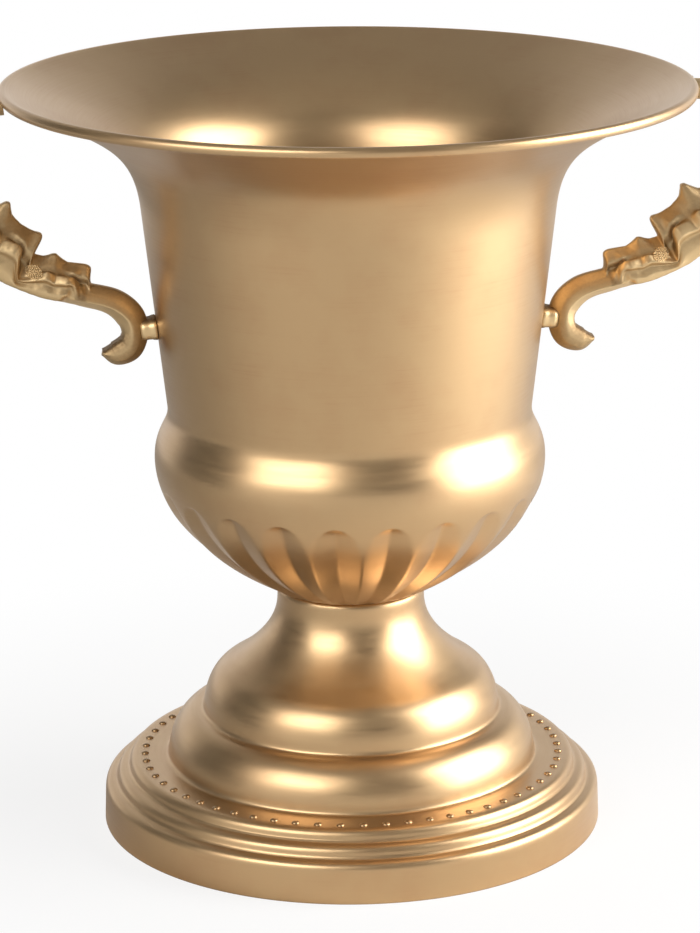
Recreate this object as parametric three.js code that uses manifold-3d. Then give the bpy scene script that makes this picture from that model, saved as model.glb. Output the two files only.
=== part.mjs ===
// A footed metal vase in the form of a classical urn: a spun bowl with a flared mouth, a rolled rim
// and a fluted underside, a stepped foot with a ring of beads, and two cast leaf handles.
// Millimetres, +Z up. The origin is the middle of the face that it stands on, and the handles lie along X.
import * as THREE from "three";
import { mergeVertices } from "three/addons/utils/BufferGeometryUtils.js";
import Module from "manifold-3d";

const wasm = await Module();
wasm.setup();

// Sheet and clearances
const SHEET = 1;
const GAP = 0.3;

// Foot: skirt, reeds and bead land
const FOOT_RADIUS = 82;
const SKIRT_HEIGHT = 13.2;
const SKIRT_DRAFT = 0.4;
const HEM_WIDTH = 7;
const REED_COUNT = 2;
const REED_DROP = 3.9;
const REED_OUT = 4.1;
const REED_ROUND = 1.9;
const BEAD_COUNT = 60;
const BEAD_INSET = 5;
const BEAD_RADIUS = 1;
const BEAD_RISE = 0.7;

// Foot: two rounded steps and the neck
const LOWER_STEP_RADIUS = 60.5;
const LOWER_STEP_ROUND = 10.5;
const LOWER_STEP_HEIGHT = 15.5;
const UPPER_STEP_RADIUS = 48.7;
const UPPER_STEP_ROUND = 10.2;
const UPPER_STEP_HEIGHT = 16;
const UPPER_STEP_TURN = THREE.MathUtils.degToRad(68);
const NECK_RADIUS = 24;
const NECK_HEIGHT = 27.6;
const NECK_STRAIGHT = 4;
const NECK_SWEEP = 13.6;
const SHOULDER_SWEEP = 1.2;
const NECK_EDGE = 1.2;
const FOOT_SEGMENTS = 40;

// Bowl: heights are above the seat on the foot
const HEEL_RADIUS = 28.6;
const HEEL_RISE = 1;
const HEEL_SWEEP = 34.3;
const HEEL_SLOPE = THREE.MathUtils.degToRad(30.2);
const BULGE_RADIUS = 63.2;
const BULGE_RISE = 44;
const BULGE_SWEEP_LOW = 9.3;
const BULGE_SWEEP_HIGH = 9.4;
const WAIST_RADIUS = 58.8;
const WAIST_RISE = 61.5;
const WAIST_SWEEP = 6.7;
const WALL_TOP_RADIUS = 66;
const WALL_TOP_RISE = 126;
const FLARE_SWEEP_LOW = 26.8;
const FLARE_SWEEP_HIGH = 19.6;
const FLARE_SLOPE = THREE.MathUtils.degToRad(19.9);
const RIM_RADIUS = 110;
const RIM_RISE = 165;
const ROLL_RADIUS = 1;
const ROLL_END = THREE.MathUtils.degToRad(153);

// Flutes pressed into the underside of the bowl
const FLUTE_COUNT = 22;
const FLUTE_FACETS = 2;
const FLUTE_TOP_RISE = 37;
const FLUTE_DEPTH = 2;
const FLUTE_NOSE = 2;
const FLUTE_NOSE_SHARE = 0.55;
const FLUTE_GROWTH = 14;
const FLUTE_WALL_SLOPE = 0.23;
const FLUTE_RUN_OUT = 4;
const FLUTE_TURN = THREE.MathUtils.degToRad(-2.2);

// Middle line of a handle: the hook and lower arm from the boss on the wall, the upper arm from the rim
const HOOK_LINE = [
  [17.4, -7.8],
  [12.8, -9.8],
  [7.8, -7.4],
  [6.1, -2],
  [7.3, 4],
  [12.4, 8.6],
  [23.3, 11.8],
  [37.3, 15.6],
  [50.3, 21.8],
];
const ARM_LINE = [
  [17, -43],
  [23.5, -28],
  [20.5, -14.5],
  [11, -5.7],
  [-1.7, -4.2],
];

// Oval boss of a handle on the wall
const BOSS_RISE = 88;
const BOSS_WIDTH = 11;
const BOSS_HEIGHT = 7.6;
const BOSS_DEPTH = 8;

// Bar of a handle: distances from the hook's tip with its height above the middle line, towards the wall
const BAR_CREST = [
  [0, 0.9],
  [4, 2],
  [9, 2.8],
  [16, 3.4],
  [30, 3.8],
  [42, 3.6],
  [60, 3.3],
];

// The same for its depth on the other side, which fills the hook, and for how far that side leans to the tip
const BAR_BACK = [
  [0, 0.5, 0.2],
  [2, 2.4, 2.2],
  [4, 5, 3],
  [6, 6.9, 1.8],
  [9, 7.6, -0.3],
  [12, 7.1, -2],
  [14, 6.4, -1.9],
  [18, 5.8, 0],
  [25, 5.7, 0],
  [35, 4.4, 0],
  [44, 4.2, 0],
  [70, 4, 0],
  [95, 3.3, 0],
];

// Half of the bar's section from its back to its crest: shares of the back or crest, and of half of the width
const BAR_SECTION = [
  [-1, 0],
  [-0.78, 0.5],
  [-0.31, 1],
  [0.35, 0.84],
  [0.97, 0.3],
];
const BAR_WIDTH = 11;
const BAR_TIP_WIDTH = 6.5;
const BAR_TAPER_LENGTH = 18;
const BAR_STATIONS = 28;
const BAR_CROWDING = 1.4;

// Handles: where along the bar each tier of leaves grows, and how much steeper it stands than the first
const TIER_PLACES = [57, 80, 112];
const TIER_LIFTS = [1, 1.65, 1.1];

// Half of the lip of a leaf, from its crown's tip round to the underside: back along the bar, up, and out
const CROWN_LIP = [
  [16, 9.2, 0],
  [14.8, 9.8, 2.4],
  [12.4, 6, 3.8],
  [13, 5.2, 6.6],
  [12.2, 3.4, 7.5],
  [10, 1.2, 6.6],
  [10.2, -0.8, 6.8],
  [7.5, -2.6, 4],
  [7.5, -3, 0],
];

// Half of the lip of the shorter leaf that overlaps the first one behind its crown, given in the same way
const EAR_LIP = [
  [3.5, 8.6, 0],
  [5.2, 10.4, 2.4],
  [2, 6.4, 4],
  [4.2, 4.8, 6.9],
  [2.6, 2.4, 7.4],
  [1.5, -1, 6.8],
  [0, -2.6, 4],
  [0, -3, 0],
];

// Leaves: how far behind their lip they root in the bar's core, and how they bend and swell on the way
const LEAF_ROOT = 16;
const LEAF_CORE = 2.4;
const LEAF_BEND = 0.2;
const LEAF_SWELL = 1.2;
const LEAF_TOE = 0.6;
const LEAF_STEPS = 3;

// Fasteners
const BOLT_RADIUS = 3;
const BOLT_HEAD_FLATS = 10;
const BOLT_HEAD_HEIGHT = 4;
const BOLT_END = 3;
const NUT_HEIGHT = 5;
const SEAL_RADIUS = 12;
const SEAL_THICKNESS = 2;
const WASHER_RADIUS = 10;
const WASHER_THICKNESS = 1.2;
const FOOT_WASHER_RADIUS = 16;
const FOOT_WASHER_THICKNESS = 1.6;
const SCREW_RADIUS = 1.5;
const SCREW_GRIP = 5;
const SCREW_HEAD_RADIUS = 3;
const SCREW_HEAD_HEIGHT = 2.2;
const SCREW_HEAD_ROUND = 0.9;
const SCREW_SEAL_RADIUS = 4;
const SCREW_SEAL_THICKNESS = 1;
const ROUND_SEGMENTS = 16;

// Places worked out from the sizes above
const BOWL_SEGMENTS = FLUTE_COUNT * FLUTE_FACETS;
const LAND_Z = SKIRT_HEIGHT + REED_COUNT * REED_DROP;
const LAND_RADIUS = FOOT_RADIUS - SKIRT_DRAFT - REED_COUNT * REED_OUT;
const GROOVE_Z = LAND_Z + LOWER_STEP_HEIGHT;
const SEAT_Z = GROOVE_Z + UPPER_STEP_HEIGHT * Math.sin(UPPER_STEP_TURN) + NECK_HEIGHT;
const BOLT_HOLE = BOLT_RADIUS + GAP;
const SCREW_HOLE = SCREW_RADIUS + GAP;
const BOSS_Z = SEAT_Z + BOSS_RISE;
const RIM_Z = SEAT_Z + RIM_RISE;
const WALL_DRAFT = (WALL_TOP_RADIUS - WAIST_RADIUS) / (WALL_TOP_RISE - WAIST_RISE);
const WALL_TILT = Math.atan(WALL_DRAFT);
const BOSS_WALL_RADIUS = WAIST_RADIUS + WALL_DRAFT * (BOSS_RISE - WAIST_RISE);

// A closed triangle mesh as a solid that can be joined and cut.
function solid(geometry) {
  const bare = geometry.clone();
  bare.deleteAttribute("normal");
  bare.deleteAttribute("uv");
  const merged = mergeVertices(bare, 1e-4);
  const index = merged.index.array;
  const kept = [];
  for (let i = 0; i < index.length; i += 3) {
    const [a, b, c] = index.subarray(i, i + 3);
    if (a !== b && b !== c && c !== a) kept.push(a, b, c);
  }
  return new wasm.Manifold(
    new wasm.Mesh({
      numProp: 3,
      vertProperties: merged.attributes.position.array,
      triVerts: new Uint32Array(kept),
    }),
  );
}

// The triangles of a solid as a geometry.
function geometryOf(body) {
  const mesh = body.getMesh();
  const geometry = new THREE.BufferGeometry();
  geometry.setAttribute("position", new THREE.BufferAttribute(mesh.vertProperties, 3));
  geometry.setIndex(new THREE.BufferAttribute(mesh.triVerts, 1));
  geometry.computeVertexNormals();
  return geometry;
}

// Points along a curve without its first one, which the curve before it has given.
function along(curve, divisions) {
  return curve.getPoints(divisions).slice(1);
}

// A quarter-round or part of one: from angle to angle about a centre, with its own two radii.
function arc(x, y, radiusX, radiusY, from, to) {
  return new THREE.EllipseCurve(x, y, radiusX, radiusY, from, to, to < from);
}

// An outline moved sideways by a distance, to its left as it runs, with mitred corners.
function offset(points, distance) {
  return points.map((point, i) => {
    const before = points[Math.max(i - 1, 0)];
    const after = points[Math.min(i + 1, points.length - 1)];
    const into = point.clone().sub(before).normalize();
    const out = after.clone().sub(point).normalize();
    if (i === 0) into.copy(out);
    if (i === points.length - 1) out.copy(into);
    const side = new THREE.Vector2(-into.y - out.y, into.x + out.x).normalize();
    const miter = side.x * -into.y + side.y * into.x;
    return point.clone().addScaledVector(side, distance / miter);
  });
}

// A closed outline of radius and height turned about the Z axis, anticlockwise so that its faces point out.
function revolve(outline, segments, turn = 0) {
  const ordered = THREE.ShapeUtils.isClockWise(outline) ? outline.toReversed() : outline;
  const points = [...ordered, ordered[0]];
  return new THREE.LatheGeometry(points, segments).rotateX(Math.PI / 2).rotateZ(turn);
}

// Closed rings of points joined into a skin, with a fan over each end.
function loft(rings) {
  const sides = rings[0].length;
  const points = rings.flat();
  const index = [];
  for (let ring = 0; ring + 1 < rings.length; ring += 1) {
    for (let side = 0; side < sides; side += 1) {
      const a = ring * sides + side;
      const b = ring * sides + ((side + 1) % sides);
      index.push(a, b, a + sides, b, b + sides, a + sides);
    }
  }
  const last = (rings.length - 1) * sides;
  for (let side = 1; side + 1 < sides; side += 1) {
    index.push(0, side + 1, side, last, last + side, last + side + 1);
  }
  const geometry = new THREE.BufferGeometry().setFromPoints(points);
  geometry.setIndex(index);
  return geometry;
}

// The size in a column of a table of distances and sizes, straight between its rows.
function tabled(rows, distance, column = 1) {
  const next = rows.findIndex(([at]) => at > distance);
  if (next < 0) return rows.at(-1)[column];
  const before = rows[next - 1];
  const after = rows[next];
  return THREE.MathUtils.mapLinear(distance, before[0], after[0], before[column], after[column]);
}

// Share of a rising curve at which it passes a height.
function shareAt(curve, height) {
  let low = 0;
  let high = 1;
  while (high - low > 1e-6) {
    const middle = (low + high) / 2;
    if (curve.getPoint(middle).y < height) low = middle;
    else high = middle;
  }
  return low;
}

// A flat ring with its axis along Z and its underside at Z = 0.
function ring(inner, outer, height) {
  const outline = [
    new THREE.Vector2(inner, 0),
    new THREE.Vector2(outer, 0),
    new THREE.Vector2(outer, height),
    new THREE.Vector2(inner, height),
  ];
  return revolve(outline, ROUND_SEGMENTS);
}

// A hexagon of a given width across its flats.
function hexagon(flats) {
  const corner = flats / Math.sqrt(3);
  const points = [];
  for (let i = 0; i < 6; i += 1) {
    const turn = (i * Math.PI) / 3;
    points.push(new THREE.Vector2(corner * Math.cos(turn), corner * Math.sin(turn)));
  }
  return new THREE.Shape(points);
}

// Outline of the foot's outer face, from the bolt hole over the neck and the steps to the hem.
function footFace(fine) {
  const stepCentre = UPPER_STEP_RADIUS - UPPER_STEP_ROUND;
  const step = arc(stepCentre, GROOVE_Z, UPPER_STEP_ROUND, UPPER_STEP_HEIGHT, UPPER_STEP_TURN, 0);
  const shoulder = step.getPoint(0);
  const neckFoot = new THREE.Vector2(NECK_RADIUS, SEAT_Z - NECK_STRAIGHT);
  const flare = new THREE.CubicBezierCurve(
    neckFoot,
    new THREE.Vector2(NECK_RADIUS, neckFoot.y - NECK_SWEEP),
    shoulder.clone().addScaledVector(step.getTangent(0), -SHOULDER_SWEEP),
    shoulder,
  );
  const edge = arc(NECK_RADIUS - NECK_EDGE, SEAT_Z - NECK_EDGE, NECK_EDGE, NECK_EDGE, Math.PI / 2, 0);
  const lowerCentre = LOWER_STEP_RADIUS - LOWER_STEP_ROUND;
  const lower = arc(lowerCentre, LAND_Z, LOWER_STEP_ROUND, LOWER_STEP_HEIGHT, Math.PI / 2, 0);
  const points = [
    new THREE.Vector2(BOLT_HOLE, SEAT_Z),
    ...edge.getPoints(1),
    neckFoot,
    ...along(flare, fine ? 5 : 3),
    ...along(step, fine ? 4 : 3),
    ...lower.getPoints(fine ? 5 : 3),
  ];
  for (let reed = 0; reed <= REED_COUNT; reed += 1) {
    const radius = LAND_RADIUS + reed * REED_OUT;
    const top = LAND_Z - reed * REED_DROP;
    const round = arc(radius - REED_ROUND, top - REED_ROUND, REED_ROUND, REED_ROUND, Math.PI / 2, 0);
    if (fine) points.push(...round.getPoints(reed < REED_COUNT ? 1 : 2));
    else points.push(new THREE.Vector2(radius, top));
    if (reed < REED_COUNT) points.push(new THREE.Vector2(radius, top - REED_DROP));
  }
  points.push(new THREE.Vector2(FOOT_RADIUS, 0));
  return points;
}

// The foot: spun sheet, open below, with its edge turned in to stand on and a ring of beads on its land.
function foot() {
  const inside = offset(footFace(false), -SHEET);
  inside[0].x = BOLT_HOLE;
  inside[inside.length - 1].y = SHEET;
  const outline = [
    ...footFace(true),
    new THREE.Vector2(FOOT_RADIUS - HEM_WIDTH, 0),
    new THREE.Vector2(FOOT_RADIUS - HEM_WIDTH, SHEET),
    ...inside.reverse(),
  ];
  let body = solid(revolve(outline, FOOT_SEGMENTS));
  const bead = new THREE.ConeGeometry(BEAD_RADIUS, 2 * BEAD_RISE, 4).rotateX(Math.PI / 2);
  const beadCircle = LAND_RADIUS - BEAD_INSET;
  for (let i = 0; i < BEAD_COUNT; i += 1) {
    const turn = ((i + 0.5) * 2 * Math.PI) / BEAD_COUNT;
    const place = bead.clone().translate(beadCircle, 0, LAND_Z).rotateZ(turn);
    body = body.add(solid(place));
  }
  return geometryOf(body);
}

// Outline of the bowl's outer face, from the bolt hole round the bulge and up to the rolled rim.
function bowlFace(fine) {
  const at = (radius, rise) => new THREE.Vector2(radius, SEAT_Z + rise);
  const heel = at(HEEL_RADIUS, HEEL_RISE);
  const bulge = at(BULGE_RADIUS, BULGE_RISE);
  const waist = at(WAIST_RADIUS, WAIST_RISE);
  const wallTop = at(WALL_TOP_RADIUS, WALL_TOP_RISE);
  const wallRun = wallTop.clone().sub(waist).normalize();
  const roll = at(RIM_RADIUS - ROLL_RADIUS, RIM_RISE - ROLL_RADIUS);
  const flareRun = new THREE.Vector2(Math.cos(FLARE_SLOPE), Math.sin(FLARE_SLOPE));
  const flareEnd = roll.clone().add(new THREE.Vector2(flareRun.y, -flareRun.x).multiplyScalar(ROLL_RADIUS));
  const heelRun = new THREE.Vector2(Math.cos(HEEL_SLOPE), Math.sin(HEEL_SLOPE));
  const under = new THREE.CubicBezierCurve(
    heel,
    heel.clone().addScaledVector(heelRun, HEEL_SWEEP),
    at(BULGE_RADIUS, BULGE_RISE - BULGE_SWEEP_LOW),
    bulge,
  );
  const over = new THREE.CubicBezierCurve(
    bulge,
    at(BULGE_RADIUS, BULGE_RISE + BULGE_SWEEP_HIGH),
    waist.clone().addScaledVector(wallRun, -WAIST_SWEEP),
    waist,
  );
  const flare = new THREE.CubicBezierCurve(
    wallTop,
    wallTop.clone().addScaledVector(wallRun, FLARE_SWEEP_LOW),
    flareEnd.clone().addScaledVector(flareRun, -FLARE_SWEEP_HIGH),
    flareEnd,
  );
  const nose = shareAt(under, SEAT_Z + FLUTE_TOP_RISE - FLUTE_NOSE);
  const top = shareAt(under, SEAT_Z + FLUTE_TOP_RISE);
  const shares = [0, nose / 5, (2 * nose) / 5, (3 * nose) / 5, (4 * nose) / 5, nose, top, (top + 1) / 2, 1];
  return [
    at(BOLT_HOLE, 0),
    at(NECK_RADIUS, 0),
    ...shares.map((share) => under.getPoint(share)),
    ...along(over, fine ? 4 : 3),
    wallTop,
    ...along(flare, fine ? 6 : 4),
  ];
}

// The round bead that the sheet's edge is rolled into, from its outer to its inner side.
function rimRoll(radius, divisions) {
  const start = FLARE_SLOPE - Math.PI / 2;
  const curve = arc(RIM_RADIUS - ROLL_RADIUS, RIM_Z - ROLL_RADIUS, radius, radius, start, ROLL_END);
  return curve.getPoints(divisions);
}

// How deep the flutes are pressed at a height, starting with a steep nose and growing towards the foot.
function fluteDepth(radius, z) {
  const below = SEAT_Z + FLUTE_TOP_RISE - z;
  if (below <= 0) return 0;
  const nose = FLUTE_NOSE_SHARE * Math.min(below / FLUTE_NOSE, 1);
  const growth = (1 - FLUTE_NOSE_SHARE) * Math.sqrt(Math.min(below / FLUTE_GROWTH, 1));
  const runOut = THREE.MathUtils.smoothstep(radius, NECK_RADIUS, NECK_RADIUS + FLUTE_RUN_OUT);
  return FLUTE_DEPTH * (nose + growth) * runOut;
}

// Presses V-shaped flutes into the sheet, towards the middle of the bulge.
function pressFlutes(geometry) {
  const pitch = (2 * Math.PI) / FLUTE_COUNT;
  const middle = new THREE.Vector3(0, 0, SEAT_Z + BULGE_RISE);
  const position = geometry.attributes.position;
  const point = new THREE.Vector3();
  for (let i = 0; i < position.count; i += 1) {
    point.fromBufferAttribute(position, i);
    const radius = Math.hypot(point.x, point.y);
    const turn = Math.atan2(point.y, point.x) - FLUTE_TURN;
    const aside = Math.abs(turn - pitch * Math.round(turn / pitch)) * radius;
    const push = Math.max(0, fluteDepth(radius, point.z) - FLUTE_WALL_SLOPE * aside);
    const inward = middle.clone().sub(point).normalize();
    point.addScaledVector(inward, push);
    position.setXYZ(i, point.x, point.y, point.z);
  }
  return geometry;
}

// The bowl: one spun sheet, holed in the bottom for the bolt and in the wall for the handle screws.
function bowl() {
  const inside = offset(bowlFace(false), SHEET);
  inside[0].x = BOLT_HOLE;
  inside.pop();
  const outline = [...bowlFace(true).slice(0, -1), ...rimRoll(ROLL_RADIUS, 5), ...inside.reverse()];
  let body = solid(pressFlutes(revolve(outline, BOWL_SEGMENTS, FLUTE_TURN)));
  const drill = new THREE.CylinderGeometry(SCREW_HOLE, SCREW_HOLE, 2 * SCREW_GRIP, ROUND_SEGMENTS);
  for (const side of [0, Math.PI]) {
    body = body.subtract(solid(onWall(drill.clone()).rotateZ(side)));
  }
  return geometryOf(body);
}

// Moves a shape made about the Y axis, with +Y outwards, to the right handle's place on the wall.
function onWall(geometry) {
  return geometry.rotateZ(-Math.PI / 2).rotateY(WALL_TILT).translate(BOSS_WALL_RADIUS, 0, BOSS_Z);
}

// Middle line of the right handle, from the hook's tip past the boss and out and up to the rim.
function handleLine() {
  const hook = HOOK_LINE.map(([x, z]) => new THREE.Vector3(BOSS_WALL_RADIUS + x, 0, BOSS_Z + z));
  const arm = ARM_LINE.map(([x, z]) => new THREE.Vector3(RIM_RADIUS + x, 0, RIM_Z + z));
  return new THREE.CatmullRomCurve3([...hook, ...arm], false, "centripetal");
}

// Frame of the handle at a share of its length: place, run, and the side that faces the wall.
function handleFrame(line, share) {
  const place = line.getPointAt(share);
  const run = line.getTangentAt(share);
  const face = new THREE.Vector3(-run.z, 0, run.x);
  return { place, run, face };
}

// A point beside the handle: back along the bar from a frame, up towards the wall, and out to the side.
function beside({ place, run, face }, back, up, out) {
  const across = new THREE.Vector3(0, out, 0);
  return place.clone().addScaledVector(run, -back).addScaledVector(face, up).add(across);
}

// The bar of the handle: rounded towards the wall, bevelled on the other side, and pointed at the hook.
function handleBar(line) {
  const otherHalf = BAR_SECTION.slice(1).toReversed();
  const section = [...BAR_SECTION, ...otherHalf.map(([up, out]) => [up, -out])];
  const rings = [];
  for (let i = 0; i <= BAR_STATIONS; i += 1) {
    const share = (i / BAR_STATIONS) ** BAR_CROWDING;
    const frame = handleFrame(line, share);
    const distance = share * line.getLength();
    const crest = tabled(BAR_CREST, distance);
    const back = tabled(BAR_BACK, distance);
    const lean = tabled(BAR_BACK, distance, 2);
    const grown = Math.sqrt(Math.min(1, distance / BAR_TAPER_LENGTH));
    const half = THREE.MathUtils.lerp(BAR_TIP_WIDTH, BAR_WIDTH, grown) / 2;
    const corner = ([up, out]) =>
      up < 0 ? beside(frame, -up * lean, up * back, out * half) : beside(frame, 0, up * crest, out * half);
    rings.push(section.map(corner));
  }
  return loft(rings);
}

// One tier of acanthus: a lobed sheath that grows out of the bar and opens towards the wall at its lip.
function leafTier(line, tier, halfLip) {
  const length = line.getLength();
  const lipFrame = handleFrame(line, TIER_PLACES[tier] / length);
  const rootFrame = handleFrame(line, (TIER_PLACES[tier] + LEAF_ROOT) / length);
  const inBar = (frame, back, up, out) => {
    const share = LEAF_CORE / Math.hypot(up, out);
    return beside(frame, back, up * share, out * share);
  };
  const half = halfLip.map(([back, up, out]) => [back, up > 0 ? up * TIER_LIFTS[tier] : up, out]);
  const other = half.slice(1, -1).map(([back, up, out]) => [back, up, -out]);
  const lip = [...half, ...other.reverse()];
  const veins = lip.map(([back, up, out]) => {
    const root = inBar(rootFrame, 0, up, out);
    const bend = beside(lipFrame, LEAF_BEND * back, LEAF_SWELL * up, LEAF_SWELL * out);
    return new THREE.QuadraticBezierCurve3(root, bend, beside(lipFrame, back, up, out));
  });
  const rings = [];
  for (let i = 0; i <= LEAF_STEPS; i += 1) {
    rings.push(veins.map((vein) => vein.getPoint(i / LEAF_STEPS)));
  }
  rings.push(lip.map(([back, up, out]) => inBar(lipFrame, back + LEAF_TOE, up, out)));
  return loft(rings);
}

// Room that the handle leaves for the rim: the rolled edge and the sheet under it, with the gap all round.
function rimRoom() {
  const flare = bowlFace(true).slice(-4, -1);
  const roll = rimRoll(ROLL_RADIUS + GAP, 8);
  const outline = [...offset(flare, -GAP), ...roll, ...offset(flare, SHEET + GAP).reverse()];
  return solid(revolve(outline, BOWL_SEGMENTS, FLUTE_TURN));
}

// The right handle: a cast bar with a boss on the wall and leaf tiers along its arm, notched for the rim.
function handle() {
  const line = handleLine();
  let body = solid(handleBar(line));
  for (const tier of TIER_PLACES.keys()) {
    body = body.add(solid(leafTier(line, tier, CROWN_LIP)));
    body = body.add(solid(leafTier(line, tier, EAR_LIP)));
  }
  const boss = new THREE.CylinderGeometry(0.5, 0.5, BOSS_DEPTH, ROUND_SEGMENTS);
  boss.scale(BOSS_WIDTH, 1, BOSS_HEIGHT).translate(0, GAP + BOSS_DEPTH / 2, 0);
  const tap = new THREE.CylinderGeometry(SCREW_HOLE, SCREW_HOLE, 2 * (SCREW_GRIP + GAP), ROUND_SEGMENTS);
  body = body.add(solid(onWall(boss)));
  return geometryOf(body.subtract(solid(onWall(tap))).subtract(rimRoom()));
}

// The bolt that draws the bowl down on the foot, with its axis along Z and its head's underside at Z = 0.
function bolt(grip) {
  const depth = BOLT_HEAD_HEIGHT;
  const inHead = BOLT_HEAD_HEIGHT / 2;
  const head = new THREE.ExtrudeGeometry(hexagon(BOLT_HEAD_FLATS), { depth, bevelEnabled: false });
  const shank = new THREE.CylinderGeometry(BOLT_RADIUS, BOLT_RADIUS, grip + inHead, ROUND_SEGMENTS);
  shank.rotateX(Math.PI / 2).translate(0, 0, (inHead - grip) / 2);
  return geometryOf(solid(head).add(solid(shank)));
}

// The nut on the bolt.
function nut() {
  const shape = hexagon(BOLT_HEAD_FLATS);
  shape.holes.push(new THREE.Path().absarc(0, 0, BOLT_HOLE, 0, 2 * Math.PI));
  const settings = { depth: NUT_HEIGHT, bevelEnabled: false, curveSegments: ROUND_SEGMENTS };
  return new THREE.ExtrudeGeometry(shape, settings);
}

// The pan-head screw of a handle, about the Y axis, pointing outwards from the seal inside the wall.
function screw(headFace) {
  const outline = [
    new THREE.Vector2(0, headFace - SCREW_HEAD_HEIGHT),
    new THREE.Vector2(SCREW_HEAD_RADIUS - SCREW_HEAD_ROUND, headFace - SCREW_HEAD_HEIGHT),
    new THREE.Vector2(SCREW_HEAD_RADIUS, headFace - SCREW_HEAD_HEIGHT + SCREW_HEAD_ROUND),
    new THREE.Vector2(SCREW_HEAD_RADIUS, headFace),
    new THREE.Vector2(SCREW_RADIUS, headFace),
    new THREE.Vector2(SCREW_RADIUS, SCREW_GRIP),
    new THREE.Vector2(0, SCREW_GRIP),
  ];
  return onWall(new THREE.LatheGeometry(outline, ROUND_SEGMENTS));
}

// Adds a named piece with its own material to the vase.
function piece(name, geometry, finish, z = 0, turn = 0) {
  const mesh = new THREE.Mesh(geometry, new THREE.MeshStandardMaterial(finish));
  mesh.name = name;
  mesh.position.z = z;
  mesh.rotation.z = turn;
  vase.add(mesh);
}

const SATIN_GOLD = { color: 0xb8945f, roughness: 0.38, metalness: 1 };
const CAST_GOLD = { color: 0xb08a52, roughness: 0.42, metalness: 1 };
const ZINC = { color: 0xb9bbb8, roughness: 0.35, metalness: 1 };
const RUBBER = { color: 0x1f1f1f, roughness: 0.85, metalness: 0 };

const vase = new THREE.Group();
const sealTop = SEAT_Z + SHEET + SEAL_THICKNESS;
const boltSeat = sealTop + WASHER_THICKNESS;
const footPlate = SEAT_Z - SHEET - FOOT_WASHER_THICKNESS;
const boltGrip = boltSeat - footPlate + NUT_HEIGHT + BOLT_END;
const innerRadius = BOSS_WALL_RADIUS - SHEET;
const sealSink = innerRadius - Math.sqrt(innerRadius ** 2 - SCREW_SEAL_RADIUS ** 2);
const sealInside = -SHEET - sealSink - GAP - SCREW_SEAL_THICKNESS;

piece("bowl", bowl(), SATIN_GOLD);
piece("foot", foot(), SATIN_GOLD);
piece("foot_bolt", bolt(boltGrip), ZINC, boltSeat);
piece("bowl_seal", ring(BOLT_HOLE, SEAL_RADIUS, SEAL_THICKNESS), RUBBER, SEAT_Z + SHEET);
piece("bowl_washer", ring(BOLT_HOLE, WASHER_RADIUS, WASHER_THICKNESS), ZINC, sealTop);
piece("foot_washer", ring(BOLT_HOLE, FOOT_WASHER_RADIUS, FOOT_WASHER_THICKNESS), ZINC, footPlate);
piece("foot_nut", nut(), ZINC, footPlate - NUT_HEIGHT);
for (const [name, turn] of [["right", 0], ["left", Math.PI]]) {
  const seal = ring(SCREW_HOLE, SCREW_SEAL_RADIUS, SCREW_SEAL_THICKNESS).rotateX(-Math.PI / 2);
  piece(`${name}_handle`, handle(), CAST_GOLD, 0, turn);
  piece(`${name}_handle_screw`, screw(sealInside - GAP), ZINC, 0, turn);
  piece(`${name}_screw_seal`, onWall(seal.translate(0, sealInside, 0)), RUBBER, 0, turn);
}

export default vase;
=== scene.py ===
"""Looks of a footed metal vase: a spun bowl on a stepped foot, with two cast leaf handles.

Sizes are in millimetres, those of the studio in metres, and angles in degrees. The sizes repeat those of the
solids, apart from fine forms that only show here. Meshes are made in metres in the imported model's frame:
+Z up, the origin in the middle of the face that the vase stands on, and the handles along X.
"""

import logging
import math
import random
from collections.abc import Iterable, Sequence
from dataclasses import dataclass, field
from enum import Enum

import bpy
import numpy as np
from mathutils import Matrix, Quaternion, Vector
from mathutils.bvhtree import BVHTree


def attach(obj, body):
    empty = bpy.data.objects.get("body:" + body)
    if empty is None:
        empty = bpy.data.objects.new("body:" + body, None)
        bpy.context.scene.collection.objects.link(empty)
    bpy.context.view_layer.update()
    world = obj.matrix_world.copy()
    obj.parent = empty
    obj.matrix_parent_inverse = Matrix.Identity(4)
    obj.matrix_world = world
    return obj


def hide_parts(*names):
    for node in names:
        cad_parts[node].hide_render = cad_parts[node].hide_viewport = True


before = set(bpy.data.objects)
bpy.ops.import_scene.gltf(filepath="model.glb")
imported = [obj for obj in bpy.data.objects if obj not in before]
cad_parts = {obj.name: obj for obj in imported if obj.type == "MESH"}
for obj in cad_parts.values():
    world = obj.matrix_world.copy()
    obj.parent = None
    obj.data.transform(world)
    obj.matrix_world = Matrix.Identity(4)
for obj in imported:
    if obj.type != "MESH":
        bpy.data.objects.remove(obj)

log = logging.getLogger("vase")

MILLIMETRE = 0.001

# Points that are closer than this, in millimetres, count as one.
SAME_PLACE = 1e-6

# A table of sizes, one row for each place that was measured or drawn.
Rows = tuple[tuple[float, ...], ...]


class Side(Enum):
    """The two handles, by their turn about the vase's axis."""

    RIGHT = 0.0
    LEFT = math.pi


class Slot(Enum):
    """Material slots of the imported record."""

    SPUN_BRASS = "spun_brass"
    CAST_BRASS = "cast_brass"
    ZINC_STEEL = "zinc_steel"
    SEAL_RUBBER = "seal_rubber"


def hex_linear(code: str) -> tuple[float, float, float, float]:
    """Turn an sRGB colour code into linear light.

    Args:
        code: Six hexadecimal digits after a hash sign.

    Returns:
        Red, green, blue and alpha.
    """
    channels = [int(code[i : i + 2], 16) / 255 for i in (1, 3, 5)]
    # The numbers are those of the sRGB standard.
    linear = [c / 12.92 if c <= 0.04045 else ((c + 0.055) / 1.055) ** 2.4 for c in channels]
    return (*linear, 1.0)


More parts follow.
